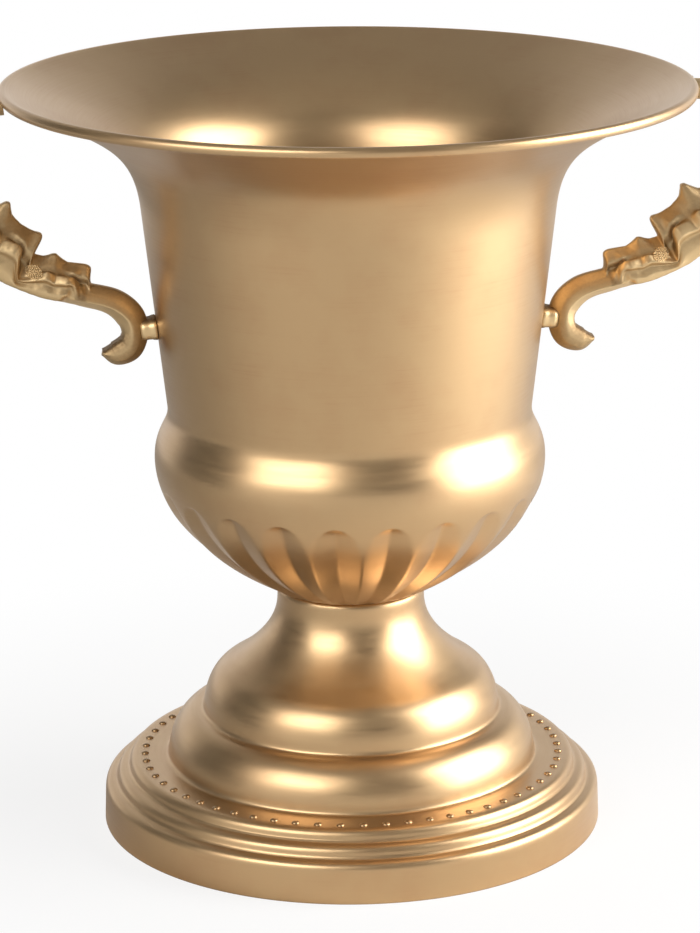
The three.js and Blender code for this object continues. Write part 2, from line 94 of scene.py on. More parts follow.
def add_node(
    tree: bpy.types.NodeTree, kind: str, feeds: dict | None = None, **settings: object
) -> bpy.types.Node:
    """Add a node to a tree, set its properties and feed its inputs.

    Args:
        tree: The tree that receives the node.
        kind: Type name of the node.
        feeds: Input name or number to a value, or to another node's output.
        settings: Properties of the node.

    Returns:
        The new node.
    """
    node = tree.nodes.new(kind)
    for name, value in settings.items():
        setattr(node, name, value)
    for key, value in (feeds or {}).items():
        if isinstance(value, bpy.types.NodeSocket):
            tree.links.new(value, node.inputs[key])
        else:
            node.inputs[key].default_value = value
    return node


def bezier(knots: Sequence[Sequence[float]], steps: int) -> np.ndarray:
    """Follow a cubic curve.

    Args:
        knots: Its four control points.
        steps: Number of steps along it.

    Returns:
        Points along the curve, one a row.
    """
    share = np.linspace(0, 1, steps + 1)[:, None]
    first, leave, enter, last = (np.asarray(knot, float) for knot in knots)
    rest = 1 - share
    return rest**3 * first + 3 * rest**2 * share * leave + 3 * rest * share**2 * enter + share**3 * last


def hermite(
    start: np.ndarray, end: np.ndarray, leave: np.ndarray, enter: np.ndarray, share: np.ndarray | float
) -> np.ndarray:
    """Join two points by a cubic curve.

    Args:
        start: First point.
        end: Last point.
        leave: Direction and speed at the first point.
        enter: Direction and speed at the last point.
        share: Share of the way to stop at.

    Returns:
        The point, or points, at that share.
    """
    bend = 3 * (end - start) - 2 * leave - enter
    twist = 2 * (start - end) + leave + enter
    return start + leave * share + bend * share**2 + twist * share**3


def arc(
    centre: Sequence[float], radii: Sequence[float], start: float, end: float, steps: int
) -> np.ndarray:
    """Follow part of an ellipse.

    Args:
        centre: Its middle.
        radii: Its two radii.
        start: First angle, in degrees.
        end: Last angle, in degrees.
        steps: Number of steps along it.

    Returns:
        Points along the arc, one a row.
    """
    turn = np.radians(np.linspace(start, end, steps + 1))
    return np.stack([centre[0] + radii[0] * np.cos(turn), centre[1] + radii[1] * np.sin(turn)], axis=1)


def offset(line: np.ndarray, distance: float) -> np.ndarray:
    """Move a line sideways with mitred corners.

    Args:
        line: Points, one a row.
        distance: How far it moves to its left.

    Returns:
        The moved points.
    """
    steps = np.diff(line, axis=0)
    steps /= np.linalg.norm(steps, axis=1)[:, None]
    into = np.vstack([steps[:1], steps])
    both = into + np.vstack([steps, steps[-1:]])
    side = np.stack([-both[:, 1], both[:, 0]], axis=1)
    side /= np.linalg.norm(side, axis=1)[:, None]
    miter = side[:, 1] * into[:, 0] - side[:, 0] * into[:, 1]
    return line + side * (distance / miter)[:, None]


def soften(
    line: np.ndarray, radius: float, sharp: float = 18.0, most: float = 0.45, steps: int = 4
) -> np.ndarray:
    """Round the sharp corners of a line.

    Args:
        line: Points, one a row.
        radius: How far from a corner its rounding starts.
        sharp: Turn from which a point counts as a corner, in degrees.
        most: Largest share of a side that a rounding takes.
        steps: Number of steps round a corner.

    Returns:
        The line with short curves in place of its corners.
    """
    rows = [line[0]]
    for before, corner, after in zip(line[:-2], line[1:-1], line[2:]):
        into, out = corner - before, after - corner
        turn = math.atan2(into[0] * out[1] - into[1] * out[0], into @ out)
        if abs(math.degrees(turn)) < sharp:
            rows.append(corner)
            continue
        first = corner - into * min(radius / np.linalg.norm(into), most)
        last = corner + out * min(radius / np.linalg.norm(out), most)
        for share in np.linspace(0, 1, steps + 1):
            rows.append((1 - share) ** 2 * first + 2 * share * (1 - share) * corner + share**2 * last)
    rows.append(line[-1])
    return np.array(rows)


def refine(line: np.ndarray, longest: float) -> np.ndarray:
    """Split the long steps of a line.

    Args:
        line: Points, one a row.
        longest: Longest step to leave.

    Returns:
        The line with points added on its long steps.
    """
    rows = [line[:1]]
    for start, end in zip(line[:-1], line[1:]):
        length = np.linalg.norm(end - start)
        if length < SAME_PLACE:
            continue
        count = math.ceil(length / longest)
        rows.append(start + (end - start) * np.arange(1, count + 1)[:, None] / count)
    return np.vstack(rows)


def ease(line: np.ndarray, step: float, spread: float, spreads: int = 3) -> np.ndarray:
    """Round all corners of a line evenly, as a roller does to spun sheet.

    Args:
        line: Points, one a row.
        step: Distance between the points of the result.
        spread: How far the rounding reaches to each side.
        spreads: Number of spreads after which a neighbour no longer counts.

    Returns:
        The rounded line, with the same ends.
    """
    length = np.append(0, np.cumsum(np.linalg.norm(np.diff(line, axis=0), axis=1)))
    places = np.linspace(0, length[-1], math.ceil(length[-1] / step) + 1)
    even = np.column_stack([np.interp(places, length, column) for column in line.T])
    reach = math.ceil(spreads * spread / step)
    weights = np.exp(-0.5 * (np.arange(-reach, reach + 1) * step / spread) ** 2)
    ahead = 2 * even[0] - even[reach:0:-1]
    behind = 2 * even[-1] - even[-2 : -reach - 2 : -1]
    padded = np.vstack([ahead, even, behind])
    return np.column_stack([np.convolve(column, weights / weights.sum(), "valid") for column in padded.T])


@dataclass
class Skin:
    """Points in millimetres, the faces that join them and each point's share of painted shade."""

    points: np.ndarray
    faces: list[tuple[int, ...]]
    wash: np.ndarray | float = 0.0

    def moved(self, matrix: Matrix) -> "Skin":
        """Give a copy that a matrix has moved."""
        turn = np.array(matrix.to_3x3())
        return Skin(self.points @ turn.T + np.array(matrix.translation), self.faces, self.wash)

    @classmethod
    def together(cls, skins: Iterable["Skin"]) -> "Skin":
        """Put several skins into one.

        Args:
            skins: The skins to put together.

        Returns:
            One skin with all their points and faces.
        """
        points, faces, wash, count = [], [], [], 0
        for skin in skins:
            points.append(skin.points)
            wash.append(np.broadcast_to(skin.wash, len(skin.points)))
            faces.extend(tuple(index + count for index in face) for face in skin.faces)
            count += len(skin.points)
        return cls(np.vstack(points), faces, np.concatenate(wash))


def lattice(rows: int, columns: int, closed: bool, flip: bool = False) -> list[tuple[int, ...]]:
    """Join a grid of points, closed around its columns, into four-sided faces.

    Args:
        rows: Number of rows.
        columns: Number of points in a row, the last of which meets the first.
        closed: Whether the last row meets the first too.
        flip: Whether the faces point to the other side.

    Returns:
        The faces as point numbers.
    """
    faces = []
    for i in range(rows if closed else rows - 1):
        here, there = i * columns, (i + 1) % rows * columns
        for j in range(columns):
            k = (j + 1) % columns
            sides = (there + j, there + k, here + k)
            faces.append((here + j, *(sides[::-1] if flip else sides)))
    return faces


def capped(rows: int, columns: int, flip: bool) -> list[tuple[int, ...]]:
    """Join a stack of rings into a tube with a fan of faces on each end.

    Args:
        rows: Number of rings.
        columns: Number of points in a ring.
        flip: Whether the faces point to the other side.

    Returns:
        The faces as point numbers. The middles of the two ends come after the points of the rings.
    """
    faces = lattice(rows, columns, closed=False, flip=flip)
    count = rows * columns
    last = count - columns
    for j in range(columns):
        k = (j + 1) % columns
        first, second = (k, j) if flip else (j, k)
        faces.append((count, first, second))
        faces.append((count + 1, last + second, last + first))
    return faces


def spin(line: np.ndarray, segments: int, turn: float = 0.0) -> np.ndarray:
    """Turn a line about the Z axis.

    Args:
        line: Radius and height of its points.
        segments: Number of steps in the turn.
        turn: Angle of the first step, in radians.

    Returns:
        The points of the line at each step.
    """
    angles = turn + 2 * math.pi * np.arange(segments) / segments
    x, y = (np.outer(side, line[:, 0]) for side in (np.cos(angles), np.sin(angles)))
    return np.stack([x, y, np.tile(line[:, 1], (segments, 1))], axis=2)


def revolve(outline: np.ndarray, segments: int, turn: float = 0.0) -> Skin:
    """Turn a closed outline about the Z axis.

    Args:
        outline: Radius and height of its points, the last of which meets the first.
        segments: Number of steps in the turn.
        turn: Angle of the first step, in radians.

    Returns:
        The turned skin, with its faces pointing out.
    """
    after = np.roll(outline, -1, axis=0)
    if np.sum(outline[:, 0] * after[:, 1] - after[:, 0] * outline[:, 1]) < 0:
        outline = outline[::-1]
    points = spin(outline, segments, turn).reshape(-1, 3)
    return Skin(points, lattice(segments, len(outline), closed=True))


def lathe_solid(line: np.ndarray, segments: int) -> Skin:
    """Turn an open line that starts and ends on the Z axis.

    Args:
        line: Radius and height of its points, from the lower to the upper end of the axis.
        segments: Number of steps in the turn.

    Returns:
        The closed skin.
    """
    body = line[1:-1]
    rings = spin(body, segments).transpose(1, 0, 2).reshape(-1, 3)
    ends = [[0, 0, line[0, 1]], [0, 0, line[-1, 1]]]
    return Skin(np.vstack([rings, ends]), capped(len(body), segments, flip=True))


def small_ball(radius: float, rise: float, rows: int, segments: int) -> Skin:
    """Turn a small round grain or bead about its own middle.

    Args:
        radius: Its radius to the sides.
        rise: Its radius upwards.
        rows: Number of steps from its lower to its upper end.
        segments: Number of steps in the turn.

    Returns:
        The closed skin.
    """
    line = arc((0, 0), (radius, rise), -90, 90, rows)
    line[[0, -1], 0] = 0
    return lathe_solid(line, segments)


def flat_ring(
    hole: float,
    radius: float,
    height: float,
    edge: float,
    segments: int,
    punched: bool,
    longest: float = 3.0,
) -> Skin:
    """Turn a washer or seal with softened edges, standing on Z = 0.

    Args:
        hole: Radius of its hole.
        radius: Its outer radius.
        height: Its thickness.
        edge: How far its edges are softened.
        segments: Number of steps in the turn.
        punched: Whether the hole's upper edge stays sharp, as a punch leaves it.
        longest: Longest step to leave on its flat faces.

    Returns:
        The closed ring.
    """
    middle, upper = [(hole + radius) / 2, 0], [hole, height]
    # A corner that is given twice isn't softened.
    bore = [upper, upper] if punched else [upper]
    line = np.array([middle, [radius, 0], [radius, height], *bore, [hole, 0], middle])
    return revolve(refine(soften(line, edge), longest)[:-1], segments)


def make_piece(
    name: str, skin: Skin, material: bpy.types.Material, node: str
) -> bpy.types.Object:
    """Make a piece of the vase that stands for a CAD node.

    Args:
        name: Name of the piece.
        skin: Its shape.
        material: Its finish.
        node: CAD node that it replaces.

    Returns:
        The piece, riding on the vase.
    """
    mesh = bpy.data.meshes.new(name)
    mesh.from_pydata((skin.points * MILLIMETRE).tolist(), [], skin.faces)
    mesh.polygons.foreach_set("use_smooth", [True] * len(mesh.polygons))
    mesh.materials.append(material)
    # Each point's share of painted shade, which the finish mixes in as a dark colour.
    shade_share = mesh.attributes.new("wash", "FLOAT", "POINT")
    shade_share.data.foreach_set("value", np.broadcast_to(skin.wash, len(skin.points)).astype(np.float32))
    mesh.validate()
    mesh.update()
    piece = bpy.data.objects.new(name, mesh)
    bpy.context.scene.collection.objects.link(piece)
    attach(piece, "root")
    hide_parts(node)
    log.info("%s: %d faces, stands for %s", name, len(mesh.polygons), node)
    return piece


class Finish:
    """A surface finish: one material with a shader at its end."""

    name: str

    def shader(self, tree: bpy.types.NodeTree) -> bpy.types.Node:
        """Add the nodes of the finish to a tree and give back its shader."""
        raise NotImplementedError

    def material(self) -> bpy.types.Material:
        """Make the material of the finish.

        Returns:
            The new material.
        """
        material = bpy.data.materials.new(self.name)
        material.use_nodes = True
        tree = material.node_tree
        tree.nodes.clear()
        shader = self.shader(tree)
        add_node(tree, "ShaderNodeOutputMaterial", {"Surface": shader.outputs[0]})
        return material


@dataclass(frozen=True)
class SpunBrass(Finish):
    """Brass sheet spun on a lathe, brushed and lacquered.

    The eye sees fine rings on a satin ground, stronger on the wall than below it, faint stains, and
    highlights that the lacquer makes whiter than the metal. Sizes are in millimetres.
    """

    colour: str = "#C4A378"
    stain: str = "#BA936A"
    # Colour of the painted shade on the points that carry it, the foot's beads.
    wash: str = "#5B3F25"
    roughness: float = 0.35
    roughness_play: tuple[float, float] = (-0.03, 0.04)
    lacquer: float = 0.35
    # Real brush marks are about 0.1 mm apart, too fine to show, so the rings are drawn coarser.
    ring_spacing: float = 0.7
    ring_depth: float = 0.04
    ring_strength: float = 0.3
    ring_range: tuple[float, float] = (0.3, 0.7)
    streak_length: float = 20.0
    streak_radius: float = 60.0
    brushed_heights: tuple[float, float] = (125.0, 150.0)
    brushed_below: float = 0.25
    # There are 45 clouds to the metre.
    cloud_size: float = 1000 / 45
    cloud_range: tuple[float, float] = (0.45, 0.7)
    cloud_share: float = 0.4
    stroke_range: tuple[float, float] = (0.53, 0.72)
    stroke_share: float = 1.1
    name: str = "brass_sheet_spun_brushed_and_lacquered"

    def brushing(self, tree: bpy.types.NodeTree, place: bpy.types.NodeSocket) -> bpy.types.NodeSocket:
        """Add a noise that is long round the axis and fine across it.

        Args:
            tree: The material's tree.
            place: Position on the piece.

        Returns:
            The height of the brushed rings.
        """
        parts = add_node(tree, "ShaderNodeSeparateXYZ", {"Vector": place}).outputs
        flat = add_node(tree, "ShaderNodeCombineXYZ", {"X": parts["X"], "Y": parts["Y"]}).outputs[0]
        radius = add_node(tree, "ShaderNodeVectorMath", {0: flat}, operation="LENGTH").outputs["Value"]
        around = add_node(tree, "ShaderNodeVectorMath", {0: flat}, operation="NORMALIZE").outputs[0]
        run = add_node(tree, "ShaderNodeMath", {0: radius, 1: parts["Z"]}, operation="ADD").outputs[0]
        rings = 1 / (self.ring_spacing * MILLIMETRE)
        ring = add_node(tree, "ShaderNodeMath", {0: run, 1: rings}, operation="MULTIPLY").outputs[0]
        lift = add_node(tree, "ShaderNodeCombineXYZ", {"Z": ring}).outputs[0]
        streaks = (self.streak_radius / self.streak_length,) * 3
        brushed = add_node(
            tree, "ShaderNodeVectorMath", {0: around, 1: streaks, 2: lift}, operation="MULTIPLY_ADD"
        ).outputs[0]
        return add_node(
            tree, "ShaderNodeTexNoise", {"Vector": brushed, "Scale": 1.0, "Detail": 3.0, "Roughness": 0.6}
        ).outputs[0]

    def shader(self, tree: bpy.types.NodeTree) -> bpy.types.Node:
        """Add the brushed rings, the faint stains, the painted shade and the metal shader.

        Args:
            tree: The material's tree.

        Returns:
            The shader node.
        """
        place = add_node(tree, "ShaderNodeTexCoord").outputs["Object"]
        rings = self.brushing(tree, place)
        height = add_node(tree, "ShaderNodeSeparateXYZ", {"Vector": place}).outputs["Z"]
        low, high = (level * MILLIMETRE for level in self.brushed_heights)
        wall = add_node(
            tree,
            "ShaderNodeMapRange",
            {"Value": height, 1: low, 2: high, 3: self.brushed_below, 4: 1.0},
            interpolation_type="SMOOTHSTEP",
        ).outputs[0]
        relief = add_node(tree, "ShaderNodeMath", {0: rings, 1: wall}, operation="MULTIPLY").outputs[0]
        deep = self.ring_depth * MILLIMETRE
        bump = add_node(
            tree, "ShaderNodeBump", {"Height": relief, "Strength": self.ring_strength, "Distance": deep}
        ).outputs[0]
        size = 1 / (self.cloud_size * MILLIMETRE)
        clouds = add_node(
            tree, "ShaderNodeTexNoise", {"Vector": place, "Scale": size, "Detail": 4.0, "Roughness": 0.55}
        ).outputs[0]
        low, high = self.cloud_range
        stained = add_node(
            tree, "ShaderNodeMapRange", {"Value": clouds, 1: low, 2: high, 3: 0.0, 4: self.cloud_share}
        ).outputs[0]
        low, high = self.stroke_range
        stroke = add_node(
            tree, "ShaderNodeMapRange", {"Value": rings, 1: low, 2: high, 3: 0.0, 4: self.stroke_share}
        ).outputs[0]
        stroked = add_node(tree, "ShaderNodeMath", {0: stroke, 1: stained}, operation="MULTIPLY").outputs[0]
        stroked = add_node(tree, "ShaderNodeMath", {0: stroked, 1: wall}, operation="MULTIPLY").outputs[0]
        worn = add_node(tree, "ShaderNodeMath", {0: stained, 1: stroked}, operation="ADD").outputs[0]
        tint = hex_linear(self.colour)
        # Painted shade from each point's share, which darkens the foot's beads.
        dark = add_node(tree, "ShaderNodeAttribute", attribute_name="wash").outputs["Fac"]
        for share, colour in ((worn, self.stain), (dark, self.wash)):
            feeds = {0: share, 6: tint, 7: hex_linear(colour)}
            tint = add_node(tree, "ShaderNodeMix", feeds, data_type="RGBA").outputs[2]
        smooth, rough = (self.roughness + play for play in self.roughness_play)
        low, high = self.ring_range
        dull = add_node(
            tree, "ShaderNodeMapRange", {"Value": rings, 1: low, 2: high, 3: smooth, 4: rough}
        ).outputs[0]
        feeds = {"Base Color": tint, "Metallic": 1.0, "Roughness": dull, "Normal": bump}
        coat = {"Coat Weight": self.lacquer, "Coat Roughness": self.roughness}
        return add_node(tree, "ShaderNodeBsdfPrincipled", {**feeds, **coat})


@dataclass(frozen=True)
class CastBrass(Finish):
    """Sand-cast brass with painted shade.

    The eye sees pale metal on the raised places, and painted shade in the hollows and wherever a
    piece's points carry it. Sizes are in millimetres.
    """

    colour: str = "#D9BC8E"
    # Dark brown of the painted shade in the hollows and on the points that carry it.
    wash: str = "#4E341D"
    roughness: float = 0.42
    shaded_roughness: float = 0.25
    # The marks of the sand are about 0.2 mm wide, too fine to show, so the grain is drawn coarser.
    grain: float = 0.9
    grain_depth: float = 0.1
    grain_strength: float = 0.25
    hollow_reach: float = 3.0
    hollow_range: tuple[float, float] = (0.15, 0.6)
    hollow_shade_share: float = 0.8
    patch_range: tuple[float, float] = (0.3, 0.7)
    patch_share: tuple[float, float] = (0.8, 1.1)
    name: str = "brass_cast_with_painted_shade"

    def shader(self, tree: bpy.types.NodeTree) -> bpy.types.Node:
        """Add the casting grain, the painted shade in the hollows and the metal shader.

        Args:
            tree: The material's tree.

        Returns:
            The shader node.
        """
        place = add_node(tree, "ShaderNodeTexCoord").outputs["Object"]
        size = 1 / (self.grain * MILLIMETRE)
        grain = add_node(
            tree, "ShaderNodeTexNoise", {"Vector": place, "Scale": size, "Detail": 4.0, "Roughness": 0.6}
        ).outputs[0]
        # Painted shade in the hollows, where the nearby surface closes over a point.
        reach = self.hollow_reach * MILLIMETRE
        open_share = add_node(
            tree, "ShaderNodeAmbientOcclusion", {"Distance": reach}, samples=8
        ).outputs["AO"]
        low, high = self.hollow_range
        hollow_shade = add_node(
            tree, "ShaderNodeMapRange", {"Value": open_share, 1: low, 2: high, 3: self.hollow_shade_share, 4: 0.0}
        ).outputs[0]
        low, high = self.patch_range
        thin, thick = self.patch_share
        patchy = add_node(
            tree, "ShaderNodeMapRange", {"Value": grain, 1: low, 2: high, 3: thin, 4: thick}
        ).outputs[0]
        # Painted shade that the points carry, on the bar's top, the hook's inner face, the leaves and the
        # boss.
        point_shade = add_node(tree, "ShaderNodeAttribute", attribute_name="wash").outputs["Fac"]
        deepest = add_node(tree, "ShaderNodeMath", {0: hollow_shade, 1: point_shade}, operation="MAXIMUM").outputs[0]
        shade_share = add_node(tree, "ShaderNodeMath", {0: deepest, 1: patchy}, operation="MULTIPLY").outputs[0]
        feeds = {0: shade_share, 6: hex_linear(self.colour), 7: hex_linear(self.wash)}
        tint = add_node(tree, "ShaderNodeMix", feeds, data_type="RGBA").outputs[2]
        rough = self.roughness + self.shaded_roughness
        dull = add_node(
            tree, "ShaderNodeMapRange", {"Value": shade_share, 1: 0.0, 2: 1.0, 3: self.roughness, 4: rough}
        ).outputs[0]
        deep = self.grain_depth * MILLIMETRE
        bump = add_node(
            tree, "ShaderNodeBump", {"Height": grain, "Strength": self.grain_strength, "Distance": deep}
        ).outputs[0]
        feeds = {"Base Color": tint, "Metallic": 1.0, "Roughness": dull, "Normal": bump}
        return add_node(tree, "ShaderNodeBsdfPrincipled", feeds)


@dataclass(frozen=True)
class ZincSteel(Finish):
    """Steel with a bright zinc plate: the eye sees a cool grey with a faint spangle, sized in millimetres."""

    colour: str = "#B4B6B5"
    dark: str = "#8F9294"
    roughness: float = 0.32
    dark_roughness: float = 0.1
    # There are 700 flakes to the metre.
    spangle: float = 1000 / 700
    name: str = "steel_zinc_plated"

    def shader(self, tree: bpy.types.NodeTree) -> bpy.types.Node:
        """Add the spangle of the plate and the metal shader.

        Args:
            tree: The material's tree.

        Returns:
            The shader node.
        """
        place = add_node(tree, "ShaderNodeTexCoord").outputs["Object"]
        size = 1 / (self.spangle * MILLIMETRE)
        flakes = add_node(tree, "ShaderNodeTexVoronoi", {"Vector": place, "Scale": size}).outputs["Distance"]
        feeds = {0: flakes, 6: hex_linear(self.colour), 7: hex_linear(self.dark)}
        tint = add_node(tree, "ShaderNodeMix", feeds, data_type="RGBA").outputs[2]
        rough = self.roughness + self.dark_roughness
        dull = add_node(
            tree, "ShaderNodeMapRange", {"Value": flakes, 1: 0.0, 2: 1.0, 3: self.roughness, 4: rough}
        ).outputs[0]
        feeds = {"Base Color": tint, "Metallic": 1.0, "Roughness": dull}
        return add_node(tree, "ShaderNodeBsdfPrincipled", feeds)


@dataclass(frozen=True)
class SealRubber(Finish):
    """Moulded black rubber: the eye sees matt black with a dusty bloom, sized in millimetres."""

    colour: str = "#1D1D1C"
    bloom: str = "#3A3936"
    roughness: float = 0.75
    dust: float = 2.5
    dust_depth: float = 0.1
    dust_strength: float = 0.2
    name: str = "rubber_moulded_black"

    def shader(self, tree: bpy.types.NodeTree) -> bpy.types.Node:
        """Add the bloom and the rubber shader.

        Args:
            tree: The material's tree.

        Returns:
            The shader node.
        """
        place = add_node(tree, "ShaderNodeTexCoord").outputs["Object"]
        size = 1 / (self.dust * MILLIMETRE)
        dust = add_node(
            tree, "ShaderNodeTexNoise", {"Vector": place, "Scale": size, "Detail": 3.0}
        ).outputs[0]
        feeds = {0: dust, 6: hex_linear(self.colour), 7: hex_linear(self.bloom)}
        tint = add_node(tree, "ShaderNodeMix", feeds, data_type="RGBA").outputs[2]
        deep = self.dust_depth * MILLIMETRE
        bump = add_node(
            tree, "ShaderNodeBump", {"Height": dust, "Strength": self.dust_strength, "Distance": deep}
        ).outputs[0]
        feeds = {"Base Color": tint, "Roughness": self.roughness, "Normal": bump}
        return add_node(tree, "ShaderNodeBsdfPrincipled", feeds)


@dataclass
class Foot:
    """Spun foot: a neck, two rounded steps, a land with a ring of beads, reeds and a skirt with a hem."""

    sheet: float = 1.0
    bolt_hole: float = 3.3
    radius: float = 82.0
    skirt_height: float = 13.2
    skirt_draft: float = 0.4
    hem_width: float = 7.0
    reed_count: int = 2
    reed_drop: float = 3.9
    reed_out: float = 4.1
    reed_round: float = 1.9
    bead_count: int = 60
    bead_inset: float = 5.0
    bead_radius: float = 1.3
    bead_rise: float = 0.7
    # Share of painted shade that darkens the beads.
    bead_painted_shade: float = 0.3
    profile_step: float = 0.4
    roller_round: float = 1.1
    # Radius, bend and height of the two rounded steps.
    lower_step: tuple[float, float, float] = (60.5, 10.5, 15.5)
    upper_step: tuple[float, float, float] = (48.7, 10.2, 16.0)
    upper_turn: float = 68.0
    neck_radius: float = 24.0
    neck_height: float = 27.6
    neck_straight: float = 4.0
    neck_sweep: float = 13.6
    shoulder_sweep: float = 1.2
    neck_edge: float = 1.2
    segments: int = 240
    upper_steps: int = 24
    flare_steps: int = 30
    edge_steps: int = 6
    lower_steps: int = 26
    reed_steps: int = 8
    inside_skip: int = 4
    hem_round: float = 0.2
    bead_rows: int = 8
    bead_segments: int = 14

    @property
    def land_height(self) -> float:
        """Height of the land that carries the beads."""
        return self.skirt_height + self.reed_count * self.reed_drop

    @property
    def land_radius(self) -> float:
        """Outer radius of the land."""
        return self.radius - self.skirt_draft - self.reed_count * self.reed_out

    @property
    def groove_height(self) -> float:
        """Height of the groove between the two steps."""
        return self.land_height + self.lower_step[2]

    @property
    def seat(self) -> float:
        """Height of the face that the bowl sits on."""
        shoulder = self.upper_step[2] * math.sin(math.radians(self.upper_turn))
        return self.groove_height + shoulder + self.neck_height

    def face(self) -> np.ndarray:
        """Draw the outer face from the bolt hole over the neck and the steps to the hem.

        Returns:
            Radius and height of its points.
        """
        radius, bend, height = self.upper_step
        centre = (radius - bend, self.groove_height)
        step = arc(centre, (bend, height), self.upper_turn, 0, self.upper_steps)
        turn = math.radians(self.upper_turn)
        run = np.array([bend * math.sin(turn), -height * math.cos(turn)])
        run /= np.linalg.norm(run)
        neck_foot = np.array([self.neck_radius, self.seat - self.neck_straight])
        sweep = neck_foot - (0, self.neck_sweep)
        flare = bezier((neck_foot, sweep, step[0] - run * self.shoulder_sweep, step[0]), self.flare_steps)
        edge_centre = (self.neck_radius - self.neck_edge, self.seat - self.neck_edge)
        edge = arc(edge_centre, (self.neck_edge, self.neck_edge), 90, 0, self.edge_steps)
        radius, bend, height = self.lower_step
        lower = arc((radius - bend, self.land_height), (bend, height), 90, 0, self.lower_steps)
        rows = [np.array([[self.bolt_hole, self.seat]]), edge, flare, step[1:], lower]
        for reed in range(self.reed_count + 1):
            radius = self.land_radius + reed * self.reed_out
            top = self.land_height - reed * self.reed_drop
            centre = (radius - self.reed_round, top - self.reed_round)
            rows.append(arc(centre, (self.reed_round, self.reed_round), 90, 0, self.reed_steps))
            if reed < self.reed_count:
                rows.append(np.array([[radius, top - self.reed_drop]]))
        rows.append(np.array([[self.radius, 0.0]]))
        return np.vstack(rows)

    def shell(self) -> Skin:
        """Turn the sheet, with its edge turned in below as a hem.

        Returns:
            The closed shell.
        """
        face = ease(self.face(), self.profile_step, self.roller_round)
        inside = offset(self.face()[:: self.inside_skip], -self.sheet)
        inside[0, 0] = self.bolt_hole
        inside = inside[inside[:, 1] > 2 * self.sheet]
        hem_edge = self.radius - self.hem_width
        hem = np.array([[hem_edge, 0.0], [hem_edge, self.sheet], [self.radius - self.sheet, self.sheet]])
        outline = np.vstack([face, soften(hem, self.hem_round), inside[::-1]])
        return revolve(outline, self.segments)

    def beads(self) -> list[Skin]:
        """Raise the ring of small beads on the land.

        Returns:
            The beads, sunk a little into the sheet.
        """
        bead = small_ball(self.bead_radius, self.bead_rise, self.bead_rows, self.bead_segments)
        bead.wash = self.bead_painted_shade
        circle = self.land_radius - self.bead_inset
        skins = []
        for i in range(self.bead_count):
            turn = Matrix.Rotation((i + 0.5) * 2 * math.pi / self.bead_count, 4, "Z")
            skins.append(bead.moved(turn @ Matrix.Translation((circle, 0, self.land_height))))
        return skins

    def build(self, brass: bpy.types.Material) -> bpy.types.Object:
        """Make the foot.

        Args:
            brass: Finish of the sheet.

        Returns:
            The piece.
        """
        skin = Skin.together([self.shell(), *self.beads()])
        return make_piece("spun_foot", skin, brass, "foot")


